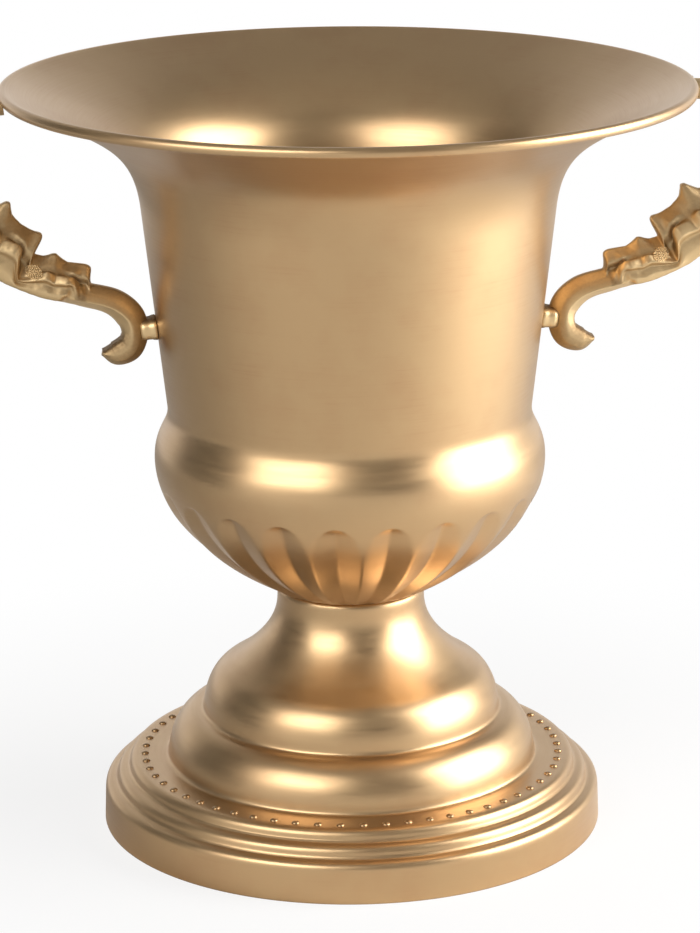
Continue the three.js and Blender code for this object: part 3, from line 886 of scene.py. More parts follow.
@dataclass
class Bowl:
    """Spun bowl: a fluted underside, a bulge, a straight drafted wall, a flared mouth and a rolled rim."""

    seat: float
    neck_radius: float
    sheet: float = 1.0
    bolt_hole: float = 3.3
    # Places on the profile are given by radius and rise above the seat.
    heel: tuple[float, float] = (28.6, 1.0)
    heel_sweep: float = 34.3
    heel_slope: float = 30.2
    bulge: tuple[float, float] = (63.2, 44.0)
    bulge_sweeps: tuple[float, float] = (9.3, 9.4)
    waist: tuple[float, float] = (58.8, 61.5)
    waist_sweep: float = 6.7
    wall_top: tuple[float, float] = (66.0, 126.0)
    flare_sweeps: tuple[float, float] = (19.6, 32.2)
    flare_slope: float = 25.0
    rim_radius: float = 110.0
    rim_rise: float = 165.0
    roll_radius: float = 1.72
    roll_lift: float = 0.6
    flute_count: int = 22
    flute_facets: int = 20
    flute_top: float = 37.0
    flute_depth: float = 2.0
    flute_nose: float = 1.6
    flute_nose_share: float = 0.55
    flute_growth: float = 14.0
    flute_wall: float = 0.25
    flute_run_out: float = 4.0
    flute_turn: float = -2.2
    flute_fold: float = 0.25
    flute_shoulder: float = 0.12
    flute_fade: tuple[float, float] = (0.4, 1.2)
    flute_heel: float = 4.0
    under_steps: int = 150
    over_steps: int = 24
    flare_steps: int = 44
    roll_steps: int = 30
    inside_share: float = 0.5
    longest_step: float = 4.0

    def at(self, radius: float, rise: float) -> np.ndarray:
        """Place a point by its radius and its rise above the seat."""
        return np.array([radius, self.seat + rise])

    @property
    def rim_height(self) -> float:
        """Height of the rim's top."""
        return self.seat + self.rim_rise

    @property
    def roll_centre(self) -> np.ndarray:
        """Radius and height of the rolled rim's middle."""
        return self.at(self.rim_radius - self.roll_radius, self.rim_rise + self.roll_lift - self.roll_radius)

    @property
    def wall_draft(self) -> float:
        """How far the wall leans out for each step up."""
        return (self.wall_top[0] - self.waist[0]) / (self.wall_top[1] - self.waist[1])

    def wall_radius(self, rise: np.ndarray | float) -> np.ndarray | float:
        """Radius of the straight wall at a rise above the seat."""
        return self.waist[0] + self.wall_draft * (rise - self.waist[1])

    def face(self, fine: bool) -> np.ndarray:
        """Draw the outer face from the bolt hole round the bulge to the rim's roll.

        Args:
            fine: Whether it's the outer skin, which shows, or the plainer inner one.

        Returns:
            Radius and height of its points.
        """
        share = 1.0 if fine else self.inside_share
        heel, bulge = self.at(*self.heel), self.at(*self.bulge)
        waist, wall_top = self.at(*self.waist), self.at(*self.wall_top)
        wall_run = (wall_top - waist) / np.linalg.norm(wall_top - waist)
        heel_turn, flare_turn = math.radians(self.heel_slope), math.radians(self.flare_slope)
        heel_run = np.array([math.cos(heel_turn), math.sin(heel_turn)])
        flare_run = np.array([math.cos(flare_turn), math.sin(flare_turn)])
        flare_end = self.roll(1)[0]
        out, low = heel + heel_run * self.heel_sweep, bulge - (0, self.bulge_sweeps[0])
        under = bezier((heel, out, low, bulge), int(self.under_steps * share))
        high, back = bulge + (0, self.bulge_sweeps[1]), waist - wall_run * self.waist_sweep
        over = bezier((bulge, high, back, waist), int(self.over_steps * share))
        leave = wall_top + wall_run * self.flare_sweeps[0]
        enter = flare_end - flare_run * self.flare_sweeps[1]
        flare = bezier((wall_top, leave, enter, flare_end), int(self.flare_steps * share))
        base = np.array([[self.bolt_hole, self.seat], [self.neck_radius, self.seat]])
        return refine(np.vstack([base, under, over[1:], flare]), self.longest_step)

    def roll(self, steps: int) -> np.ndarray:
        """Draw the bead that the sheet's edge is rolled into, outwards and down.

        Args:
            steps: Number of steps round it.

        Returns:
            Radius and height of its points, from the flare's outer face round to its inner face.
        """
        tuck = math.degrees(math.acos(1 - self.sheet / self.roll_radius))
        start, end = 90 + self.flare_slope + tuck, 450 + self.flare_slope
        return arc(self.roll_centre, (self.roll_radius, self.roll_radius), start, end, steps)

    def flute_push(self, points: np.ndarray) -> np.ndarray:
        """Find how far the flutes press points of the sheet in.

        Args:
            points: Points of the sheet.

        Returns:
            The push at each point.
        """
        pitch = 2 * math.pi / self.flute_count
        radius = np.hypot(points[:, 0], points[:, 1])
        turn = np.arctan2(points[:, 1], points[:, 0]) - math.radians(self.flute_turn)
        aside = np.abs(turn - pitch * np.round(turn / pitch)) * radius
        aside = np.sqrt(aside**2 + self.flute_fold**2) - self.flute_fold
        below = self.seat + self.flute_top - points[:, 2]
        nose = self.flute_nose_share * (1 - np.exp(-np.clip(below, 0, None) / self.flute_nose))
        growth = (1 - self.flute_nose_share) * np.sqrt(np.clip(below / self.flute_growth, 0, 1))
        out = np.clip((radius - self.neck_radius) / self.flute_run_out, 0, 1)
        deep = self.flute_depth * (nose + growth) * out * out * (3 - 2 * out) - self.flute_wall * aside
        soft = 0.5 * (deep + np.sqrt(deep**2 + self.flute_shoulder**2))
        nose_edge = np.clip((below + self.flute_fade[0]) / self.flute_fade[1], 0, 1)
        return soft * nose_edge * np.clip(out * self.flute_heel, 0, 1)

    def build(self, brass: bpy.types.Material) -> bpy.types.Object:
        """Make the bowl.

        Args:
            brass: Finish of the sheet.

        Returns:
            The piece.
        """
        inside = offset(self.face(fine=False), self.sheet)
        inside[0, 0] = self.bolt_hole
        outline = np.vstack([self.face(fine=True)[:-1], self.roll(self.roll_steps), inside[::-1]])
        skin = revolve(outline, self.flute_count * self.flute_facets, math.radians(self.flute_turn))
        middle = np.array([0.0, 0.0, self.seat + self.bulge[1]])
        inward = middle - skin.points
        inward /= np.linalg.norm(inward, axis=1)[:, None]
        skin.points = skin.points + inward * self.flute_push(skin.points)[:, None]
        return make_piece("spun_bowl", skin, brass, "bowl")


@dataclass
class Handle:
    """Cast handle: a hooked bar with an oval boss on the wall, and three acanthus leaves along its arm.

    The casting is lofted over stations along the bar. Where a table's comment doesn't say otherwise, its
    rows have the distance from the hook's tip and a size there. Heights are above the bar's middle line, on
    the side towards the wall.
    """

    bowl: Bowl
    side: Side
    gap: float = 0.3
    boss_rise: float = 88.0
    boss_width: float = 11.0
    boss_height: float = 7.6
    boss_depth: float = 5.0
    boss_neck: float = 0.86
    boss_squareness: float = 2.8
    boss_skirt: float = 0.5
    boss_steps: int = 48
    seat_gap: float = 0.06
    width: float = 11.0
    tip_width: float = 6.5
    taper_length: float = 18.0
    station_step: float = 0.3
    span_steps: int = 8
    knot_steps: int = 60
    tightness: float = 0.38
    read_step: float = 0.1
    read_margin: float = 4.0
    blur_steps: int = 30
    bar_blur: float = 0.9
    crease_depth: float = 0.7
    keel_bevels: tuple[float, float] = (0.12, 0.6)
    lobe_inset: float = 1.1
    lobe_swell: float = 0.15
    edge_swell: float = 0.35
    edge_inset: float = 0.5
    crown_corners: int = 5
    recess_corners: range = range(5, 8)
    # Painted shade in the recesses under the crowns, and at the middles of the two ends.
    recess_painted_shade: float = 0.6
    end_painted_shade: float = 0.3
    front_from: float = 6.0
    chasing: float = 0.05
    grain_radius: float = 0.34
    grain_rows: int = 4
    grain_segments: int = 7
    grain_rings: int = 6
    grain_jitter: float = 0.1
    grain_seed: int = 7
    probe: float = 14.0
    flare_rows: int = 30
    rim_zone: float = 12.0
    # The boss, from the wall out: share of its radius and depth, then share of its radius and painted shade.
    boss_profile: Rows = ((0.94, 0), (1, 0.25), (0.98, 0.8), (0.92, 1.6), (0.9, 2.6), (0.92, 3.6))
    boss_painted_shade: Rows = ((0.55, 0), (0.85, 0.85))
    # Knots of the middle line: out and up from the boss, and then from the rim.
    hook_line: Rows = (
        (17.4, -7.8), (12.8, -9.8), (7.8, -7.4), (6.1, -2), (7.3, 4), (12.4, 8.6), (23.3, 11.8),
        (37.3, 15.6), (50.3, 21.8),
    )
    arm_line: Rows = ((17, -43), (23.5, -28), (20.5, -14.5), (11, -5.7), (-1.7, -4.2))
    crest: Rows = ((0, 0.9), (4, 2), (9, 2.8), (16, 3.4), (30, 3.8), (42, 3.6), (60, 3.3))
    back: Rows = (
        (0, 0.5, 0.2), (2, 2.4, 2.2), (4, 5, 3), (6, 6.9, 1.8), (9, 7.6, -0.3), (12, 7.1, -2),
        (14, 6.4, -1.9), (18, 5.8, 0), (25, 5.7, 0), (35, 4.4, 0), (44, 4.2, 0), (70, 4, 0), (95, 3.3, 0),
    )
    hook_share: Rows = ((13, 1), (23, 0))
    # Corners of the half section: shares of height and half width on the bar, and then on the hook.
    bar_section: Rows = (
        (1, 0, 1, 0), (0.98, 0.12, 0.98, 0.12), (0.93, 0.26, 0.93, 0.26), (0.7, 0.46, 0.7, 0.46),
        (0.4, 0.67, 0.4, 0.67), (0.1, 0.83, 0.1, 0.84), (-0.16, 0.95, -0.14, 0.95), (-0.31, 1, -0.3, 1),
        (-0.4, 0.95, -0.5, 0.94), (-0.72, 0.6, -0.7, 0.78), (-0.86, 0.42, -0.78, 0.5),
        (-0.96, 0.2, -0.79, 0.24), (-1, 0, -0.79, 0),
    )
    # Painted shade at these corners on the bar, what the hook adds, and painted shade on the leaves.
    # It darkens the bar's top, the hook's inner face, the leaves' crowns and their seams, where shade falls.
    bar_painted_shade: tuple[float, ...] = (0.38, 0.38, 0.38, 0.36, 0.34, 0.3, 0.2, 0.05, 0, 0, 0, 0, 0)
    hook_painted_shade: tuple[float, ...] = (0.1, 0.1, 0.1, 0.1, 0.1, 0.12, 0.2, 0.3, 0.55, 0.75, 0.8, 0.8, 0.8)
    leaf_painted_shade: tuple[float, ...] = (0.2, 0.22, 0.27, 0.34, 0.5, 0.18, 0.1, 0.36, 0.08, 0.14, 0.14, 0.14, 0.14)
    crown_share: Rows = ((39.3, 0), (40.2, 1), (126, 1), (134, 0))
    lobe_share: Rows = ((40.8, 0), (42.3, 1), (124, 1), (132, 0))
    lobe_slant: float = 1.3
    keel_height: Rows = (
        (39.6, 7.6), (40.4, 8.6), (41.8, 9.4), (44.5, 9.2), (47.6, 8.8), (50, 9.6), (52.3, 10.8),
        (54.2, 10.2), (57, 8.7), (60.3, 8.5), (61.2, 14.4), (62.6, 15.5), (66, 15.2), (70.5, 15.4),
        (74.5, 16.6), (77.4, 19.4), (79.2, 19), (82.5, 14.8), (88, 12.4), (94, 10.4), (96, 10),
        (97, 12.4), (99, 13), (105, 12.2), (109, 13.2), (112, 12.4), (118, 8.2), (126, 4.4),
    )
    lip_width: Rows = (
        (39.3, 1.2), (40.4, 1.7), (44, 1.3), (49, 0), (60.2, 0), (61, 2), (66, 1.5), (72, 0), (96, 0),
        (96.8, 1.5), (101, 1.1), (107, 0),
    )
    front_lean: Rows = (
        (38.8, 0), (39.6, 0.14), (44, 0), (59.9, 0), (60.6, 0.2), (63, 0.19), (69, 0), (95.8, 0),
        (96.5, 0.25), (103, 0),
    )
    keel_width: Rows = (
        (39, 2.2), (41, 2.9), (44, 2.6), (48, 2.2), (52, 2.9), (57, 2.3), (60.4, 2.2), (62, 3), (65, 2.8),
        (71, 2.3), (77, 3.2), (86, 2.6), (96, 2.3), (98, 2.8), (105, 2.3), (109, 2.8), (126, 2.4),
    )
    seam_height: Rows = (
        (39.5, 3.4), (43, 3.4), (45, 4.6), (49, 5.2), (51.5, 5.6), (55, 5.2), (58, 4), (60.3, 3.4),
        (61, 4.4), (64, 5.4), (65.6, 8.8), (68, 10), (73, 10.4), (76, 11), (82, 8.4), (90, 5), (96, 4.2),
        (96.8, 4.4), (99, 4.8), (101, 6.4), (107, 6.8), (116, 4.2), (126, 3),
    )
    seam_width: Rows = (
        (39.5, 2), (43, 2.2), (45, 3.4), (49, 4.2), (57, 4.7), (60.3, 4.7), (61, 2.3), (64.4, 2.6),
        (66.6, 3.8), (73, 4.2), (82, 4.7), (96, 4.5), (96.8, 2.2), (99.4, 2.4), (102, 3.8), (116, 4.4),
        (126, 4.2),
    )
    lobe_height: Rows = (
        (42, 2.2), (43.6, 4.2), (45.6, 5.4), (49, 5.1), (51, 4.3), (52.4, 5.2), (54, 5.4), (56.5, 4),
        (59, 2.2), (62.4, 0.6), (63.6, 4), (65.2, 9), (67, 10.2), (70, 9.8), (73, 8.4), (74.4, 9.2),
        (76.4, 10.6), (80, 8.2), (86, 4.4), (96, 2), (98, 2.4), (99.6, 5.6), (103, 6), (107, 4.8),
        (108.4, 5.6), (114, 2.6), (124, 1.2),
    )
    lobe_width: Rows = (
        (43, 5), (44.6, 6.2), (47, 6.9), (51, 6.3), (52.6, 6.8), (56, 6.6), (62, 6), (64.6, 6.4),
        (67.4, 7.1), (73, 6.4), (75.4, 7), (80, 6.8), (90, 6), (98, 5.6), (100, 6.6), (107, 6),
        (108.6, 6.5), (118, 5.6), (126, 5.4),
    )
    edge_height: Rows = (
        (43, -1.2), (45, -1.8), (47, -2.9), (52, -3.2), (60, -3.2), (66, -3), (72, -1.8), (80, -1.6),
        (92, -2), (100, -1.6), (118, -1.8),
    )
    edge_width: Rows = (
        (43, 5), (45, 5.6), (48, 6.1), (52, 6), (60, 5.6), (66, 5.5), (72, 6.2), (80, 6.2), (92, 5.7),
        (100, 5.9), (118, 5.4),
    )
    # Stippled patches: station, height, and reach along and up.
    grain_patches: Rows = ((58.4, 3.8, 3, 2), (84, 6.4, 3.4, 2), (114, 3.8, 2.8, 1.6))
    # The middle line, the distance along it and its direction, which are worked out from the above.
    line: np.ndarray = field(init=False)
    reach: np.ndarray = field(init=False)
    run: np.ndarray = field(init=False)

    def __post_init__(self) -> None:
        """Draw the middle line and measure along it."""
        rim = np.array([self.bowl.rim_radius, self.bowl.rim_height])
        knots = np.vstack([self.boss_place + np.array(self.hook_line), rim + np.array(self.arm_line)])
        self.line = self.follow(knots)
        steps = np.linalg.norm(np.diff(self.line, axis=0), axis=1)
        self.reach = np.concatenate([[0.0], np.cumsum(steps)])
        run = np.gradient(self.line, axis=0)
        self.run = run / np.linalg.norm(run, axis=1)[:, None]

    @property
    def boss_place(self) -> np.ndarray:
        """Radius and height of the place on the wall where the boss stands."""
        return self.bowl.at(self.bowl.wall_radius(self.boss_rise), self.boss_rise)

    @property
    def boss_frame(self) -> Matrix:
        """Movement that sets a piece about Z on the wall, pointing out along X."""
        radius, height = self.boss_place
        lean = Matrix.Rotation(math.pi / 2 + math.atan(self.bowl.wall_draft), 4, "Y")
        return Matrix.Translation((radius, 0, height)) @ lean

    def follow(self, knots: np.ndarray) -> np.ndarray:
        """Run a smooth line through the knots of the bar, slowing at close knots.

        Args:
            knots: Points that the line passes through.

        Returns:
            Close points along the line.
        """
        ends = np.vstack([2 * knots[0] - knots[1], knots, 2 * knots[-1] - knots[-2]])
        share = np.linspace(0, 1, self.knot_steps, endpoint=False)[:, None]
        rows = []
        slow = np.sqrt(np.linalg.norm(np.diff(ends, axis=0), axis=1))
        for i in range(len(knots) - 1):
            prior, start, end, later = ends[i : i + 4]
            before, here, after = slow[i : i + 3]
            run = (end - start) / here
            leave = ((start - prior) / before - (end - prior) / (before + here) + run) * here
            enter = (run - (later - start) / (here + after) + (later - end) / after) * here
            rows.append(hermite(start, end, leave, enter, share))
        return np.vstack([*rows, knots[-1:]])

    def read(self, rows: Rows, stations: np.ndarray, column: int = 1, blur: float = 0.35) -> np.ndarray:
        """Read a table of sizes, blurred a little as a casting's edges are.

        Args:
            rows: Distances from the hook's tip and sizes.
            stations: Distances to read it at.
            column: Column of the size.
            blur: Distance over which the sizes run into one another.

        Returns:
            The sizes at the stations.
        """
        table = np.array(rows, float)
        fine = np.arange(-self.read_margin, self.reach[-1] + self.read_margin, self.read_step)
        sizes = np.interp(fine, table[:, 0], table[:, column])
        spread = np.arange(-self.blur_steps, self.blur_steps + 1) * self.read_step / blur
        weights = np.exp(-0.5 * spread**2)
        padded = np.pad(sizes, self.blur_steps, mode="edge")
        soft = np.convolve(padded, weights / weights.sum(), mode="valid")
        return np.interp(stations, fine, soft)

    def leaf_corners(
        self, stations: np.ndarray, back: np.ndarray, half: np.ndarray
    ) -> list[tuple[np.ndarray, np.ndarray]]:
        """Find the corners of the leaves' half section, from the keel over seam, lobe and edge to the back.

        Args:
            stations: Distances from the hook's tip.
            back: Depth of the bar's back at the stations.
            half: Half the bar's width at the stations.

        Returns:
            Height and half width of each corner.
        """
        heights = (self.keel_height, self.seam_height, self.lobe_height, self.edge_height)
        widths = (self.keel_width, self.seam_width, self.lobe_width, self.edge_width)
        keel, seam, lobe, edge = (self.read(rows, stations) for rows in heights)
        keel_half, seam_half, lobe_half, edge_half = (self.read(rows, stations) for rows in widths)
        lip = self.read(self.lip_width, stations)
        # The corners between these lines lie at shares of the way from one line to the next.
        fold = 0.55 * lobe + 0.45 * edge
        return [
            (keel, 0 * keel),
            (keel - self.keel_bevels[0], 0.25 * keel_half),
            (keel - self.keel_bevels[1], 0.5 * keel_half),
            (0.4 * keel + 0.6 * seam, 0.2 * keel_half + 0.6 * seam_half + lip),
            (seam, seam_half),
            (lobe, lobe_half - self.lobe_inset),
            (0.6 * fold + 0.4 * lobe, lobe_half + self.lobe_swell),
            (fold, 0.5 * (lobe_half + edge_half) - self.crease_depth),
            (0.45 * fold + 0.55 * edge, edge_half + self.edge_swell),
            (edge, edge_half - self.edge_inset),
            (0.5 * edge - 0.46 * back, 0.5 * half),
            (-0.97 * back, 0.22 * half),
            (-back, 0 * half),
        ]

    def sections(self, stations: np.ndarray) -> np.ndarray:
        """Find the half section of the casting at stations along the bar.

        Args:
            stations: Distances from the hook's tip.

        Returns:
            For each station, height, half width, lean and painted shade of the corners from top to underside.
        """
        crest = self.read(self.crest, stations, blur=self.bar_blur)
        back, lean = (self.read(self.back, stations, column, self.bar_blur) for column in (1, 2))
        widened = np.sqrt(np.clip(stations / self.taper_length, 0, 1))
        half = (self.tip_width + (self.width - self.tip_width) * widened) / 2
        hooked = self.read(self.hook_share, stations, blur=self.bar_blur)
        bar = []
        for up, out, hook_up, hook_out in self.bar_section:
            share = up + (hook_up - up) * hooked
            bar.append((share * np.where(share > 0, crest, back), (out + (hook_out - out) * hooked) * half))
        front = self.read(self.front_lean, stations)
        crowned = self.read(self.crown_share, stations)
        painted_shades = zip(self.bar_painted_shade, self.leaf_painted_shade, self.hook_painted_shade)
        pairs = zip(bar, self.leaf_corners(stations, back, half), painted_shades)
        corners = []
        for i, (plain, leaf, (bar_painted_shade, leaf_painted_shade, hook_painted_shade)) in enumerate(pairs):
            share = crowned
            if i >= self.crown_corners:
                share = self.read(self.lobe_share, stations - self.lobe_slant * (i - self.crown_corners))
            height, wide = (bare + (grown - bare) * share for bare, grown in zip(plain, leaf))
            shift = lean * np.clip(-height / back, 0, 1) + front * np.clip(height - self.front_from, 0, None)
            wash = bar_painted_shade + (leaf_painted_shade - bar_painted_shade) * share + hook_painted_shade * hooked
            # Painted shade in the recess under a crown, before its lobe has grown.
            if i in self.recess_corners:
                wash = np.maximum(wash, self.recess_painted_shade * crowned * (1 - share))
            corners.append((height, wide, shift, wash))
        return np.array(corners).transpose(2, 0, 1)

    def around(self, corners: np.ndarray) -> np.ndarray:
        """Round a half section into a full closed ring.

        Args:
            corners: Height, half width, lean and painted shade of its corners, for each station.

        Returns:
            Points round each section.
        """
        other = corners[:, -2:0:-1] * (1, -1, 1, 1)
        ring = np.concatenate([corners, other], axis=1)
        count = ring.shape[1]
        shares = np.linspace(0, 1, self.span_steps, endpoint=False)
        rows = []
        for i in range(count):
            prior, start, end, later = (ring[:, (i + k) % count] for k in (-1, 0, 1, 2))
            leave, enter = self.tightness * (end - prior), self.tightness * (later - start)
            rows.extend(hermite(start, end, leave, enter, share) for share in shares)
        return np.stack(rows, axis=1)

    def chase(self, stations: np.ndarray, rings: np.ndarray) -> np.ndarray:
        """Give the leaves the slight unevenness of hand-chased casting.

        Args:
            stations: Distances from the hook's tip.
            rings: Points round each section.

        Returns:
            The uneven sections.
        """
        along = stations[:, None]
        height, wide = rings[..., 0], rings[..., 1]
        aside = np.abs(wide)
        # Waves of unlike lengths, 3 to 10 mm, cross one another, so that no place repeats.
        wave = np.sin(1.1 * along + 1.3 * height + 0.7) * np.cos(0.9 * height - 0.6 * along + 0.8 * aside)
        fine = np.sin(2.3 * along - 1.9 * aside + 1.9) * np.sin(1.7 * height + 0.4)
        rise = self.chasing * self.read(self.lobe_share, stations)[:, None] * (wave + 0.5 * fine)
        uneven = rings.copy()
        uneven[..., 0] += rise
        uneven[..., 1] *= 1 + 0.6 * rise / np.maximum(aside, 1.0)
        return uneven

    def place(
        self, stations: np.ndarray, up: np.ndarray, out: np.ndarray, lean: np.ndarray | float = 0.0
    ) -> np.ndarray:
        """Set points beside the bar's middle line.

        Args:
            stations: Distances from the hook's tip.
            up: Heights above the line, on the side towards the wall.
            out: Distances to the side.
            lean: Distances back along the bar.

        Returns:
            The points in space.
        """
        x, z = (np.interp(stations, self.reach, self.line[:, i]) for i in (0, 1))
        run_x, run_z = (np.interp(stations, self.reach, self.run[:, i]) for i in (0, 1))
        long = np.hypot(run_x, run_z)
        run_x, run_z = run_x / long, run_z / long
        return np.stack([x - up * run_z - lean * run_x, out, z + up * run_x - lean * run_z], axis=-1)

    def casting(self) -> Skin:
        """Loft the bar with its leaves.

        Returns:
            The closed casting.
        """
        stations = np.linspace(0, self.reach[-1], round(self.reach[-1] / self.station_step) + 1)
        rings = self.chase(stations, self.around(self.sections(stations)))
        spread = stations[:, None] + 0 * rings[..., 0]
        points = self.place(spread, rings[..., 0], rings[..., 1], rings[..., 2]).reshape(-1, 3)
        # Painted shade of each point, and at the middles of the two ends.
        wash = np.append(np.clip(rings[..., 3].reshape(-1), 0, 1), [self.end_painted_shade, self.end_painted_shade])
        ends = self.place(stations[[0, -1]], np.zeros(2), np.zeros(2))
        faces = capped(len(stations), rings.shape[1], flip=False)
        return Skin(self.under_rim(np.vstack([points, ends])), faces, wash)

    def under_rim(self, points: np.ndarray) -> np.ndarray:
        """Keep the upper end under the flare and outside the rolled rim.

        Args:
            points: Points of the casting.

        Returns:
            The points, moved where they would touch the bowl.
        """
        bowl = self.bowl
        flare = bowl.face(fine=True)[-self.flare_rows :]
        radius = np.hypot(points[:, 0], points[:, 1])
        ceiling = np.interp(radius, *flare.T) - self.gap
        near = (points[:, 2] > bowl.rim_height - self.rim_zone) & (radius < flare[-1, 0])
        moved = points.copy()
        moved[near, 2] = np.minimum(points[near, 2], ceiling[near])
        away = np.stack([radius, moved[:, 2]], axis=1) - bowl.roll_centre
        distance = np.linalg.norm(away, axis=1)
        room = bowl.roll_radius + self.gap
        push = np.clip(room - distance, 0, None) / np.maximum(distance, SAME_PLACE)
        moved[:, 0] += away[:, 0] * push
        moved[:, 2] += away[:, 1] * push
        return moved

    def boss(self) -> Skin:
        """Form the oval boss that stands on the wall.

        Returns:
            The boss, running from the wall into the bar.
        """
        end = ((self.boss_neck, self.boss_depth), (0, self.boss_depth))
        profile = np.array([(0, 0), *self.boss_profile, *end]) + (0, self.gap)
        turned = lathe_solid(profile, self.boss_steps)
        x, y, depth = turned.points.T
        turn = np.arctan2(y, x)
        power = self.boss_squareness
        square = (np.abs(np.cos(turn)) ** power + np.abs(np.sin(turn)) ** power) ** (-1 / power)
        # Painted shade, darkest at the boss's top and bottom, where the bar and the wall shade it.
        turned.wash = np.interp(np.abs(x * square), *np.transpose(self.boss_painted_shade))
        oval = [x * square * self.boss_height / 2, y * square * self.boss_width / 2, depth]
        turned.points = np.stack(oval, axis=1)
        boss = turned.moved(self.boss_frame)
        near = depth < self.gap + self.boss_skirt
        wall = self.bowl.wall_radius(boss.points[:, 2] - self.bowl.seat) + self.seat_gap + depth - self.gap
        boss.points[near, 0] = np.sqrt(wall[near] ** 2 - boss.points[near, 1] ** 2)
        return boss

    def grains(self, casting: Skin) -> list[Skin]:
        """Strew the stippled patches beside the leaves' keels with small round grains.

        Args:
            casting: The casting that carries the grains.

        Returns:
            The grains, sunk half into the casting.
        """
        rough = random.Random(self.grain_seed)
        tree = BVHTree.FromPolygons(casting.points.tolist(), casting.faces)
        grain = small_ball(self.grain_radius, self.grain_radius, self.grain_rows, self.grain_segments)
        # One grain in the middle of a patch, then rings of 6, 12, 18 and so on.
        counts = [max(1, 6 * ring) for ring in range(self.grain_rings)]
        spots = [(ring, step) for ring, count in enumerate(counts) for step in range(count)]
        outermost = self.grain_rings - 0.5
        jitter = self.grain_jitter
        skins = []
        for station, height, reach, rise in self.grain_patches:
            for ring, step in spots:
                turn = 2 * math.pi * (step + 0.5 * ring) / counts[ring]
                along = station + reach * ring / outermost * math.cos(turn) + rough.uniform(-jitter, jitter)
                up = height + rise * ring / outermost * math.sin(turn) + rough.uniform(-jitter, jitter)
                for out in (-self.probe, self.probe):
                    beside = np.array([out, 0.0])
                    start, aim = self.place(np.array([along, along]), np.array([up, up]), beside)
                    hit = tree.ray_cast(Vector(start), Vector(aim - start))[0]
                    if hit is not None:
                        skins.append(grain.moved(Matrix.Translation(hit)))
        return skins

    def build(self, brass: bpy.types.Material) -> bpy.types.Object:
        """Make the handle on its side of the vase.

        Args:
            brass: Finish of the casting.

        Returns:
            The piece.
        """
        casting = self.casting()
        skin = Skin.together([casting, self.boss(), *self.grains(casting)])
        turned = skin.moved(Matrix.Rotation(self.side.value, 4, "Z"))
        side = self.side.name.lower()
        return make_piece(f"cast_handle_{side}", turned, brass, f"{side}_handle")


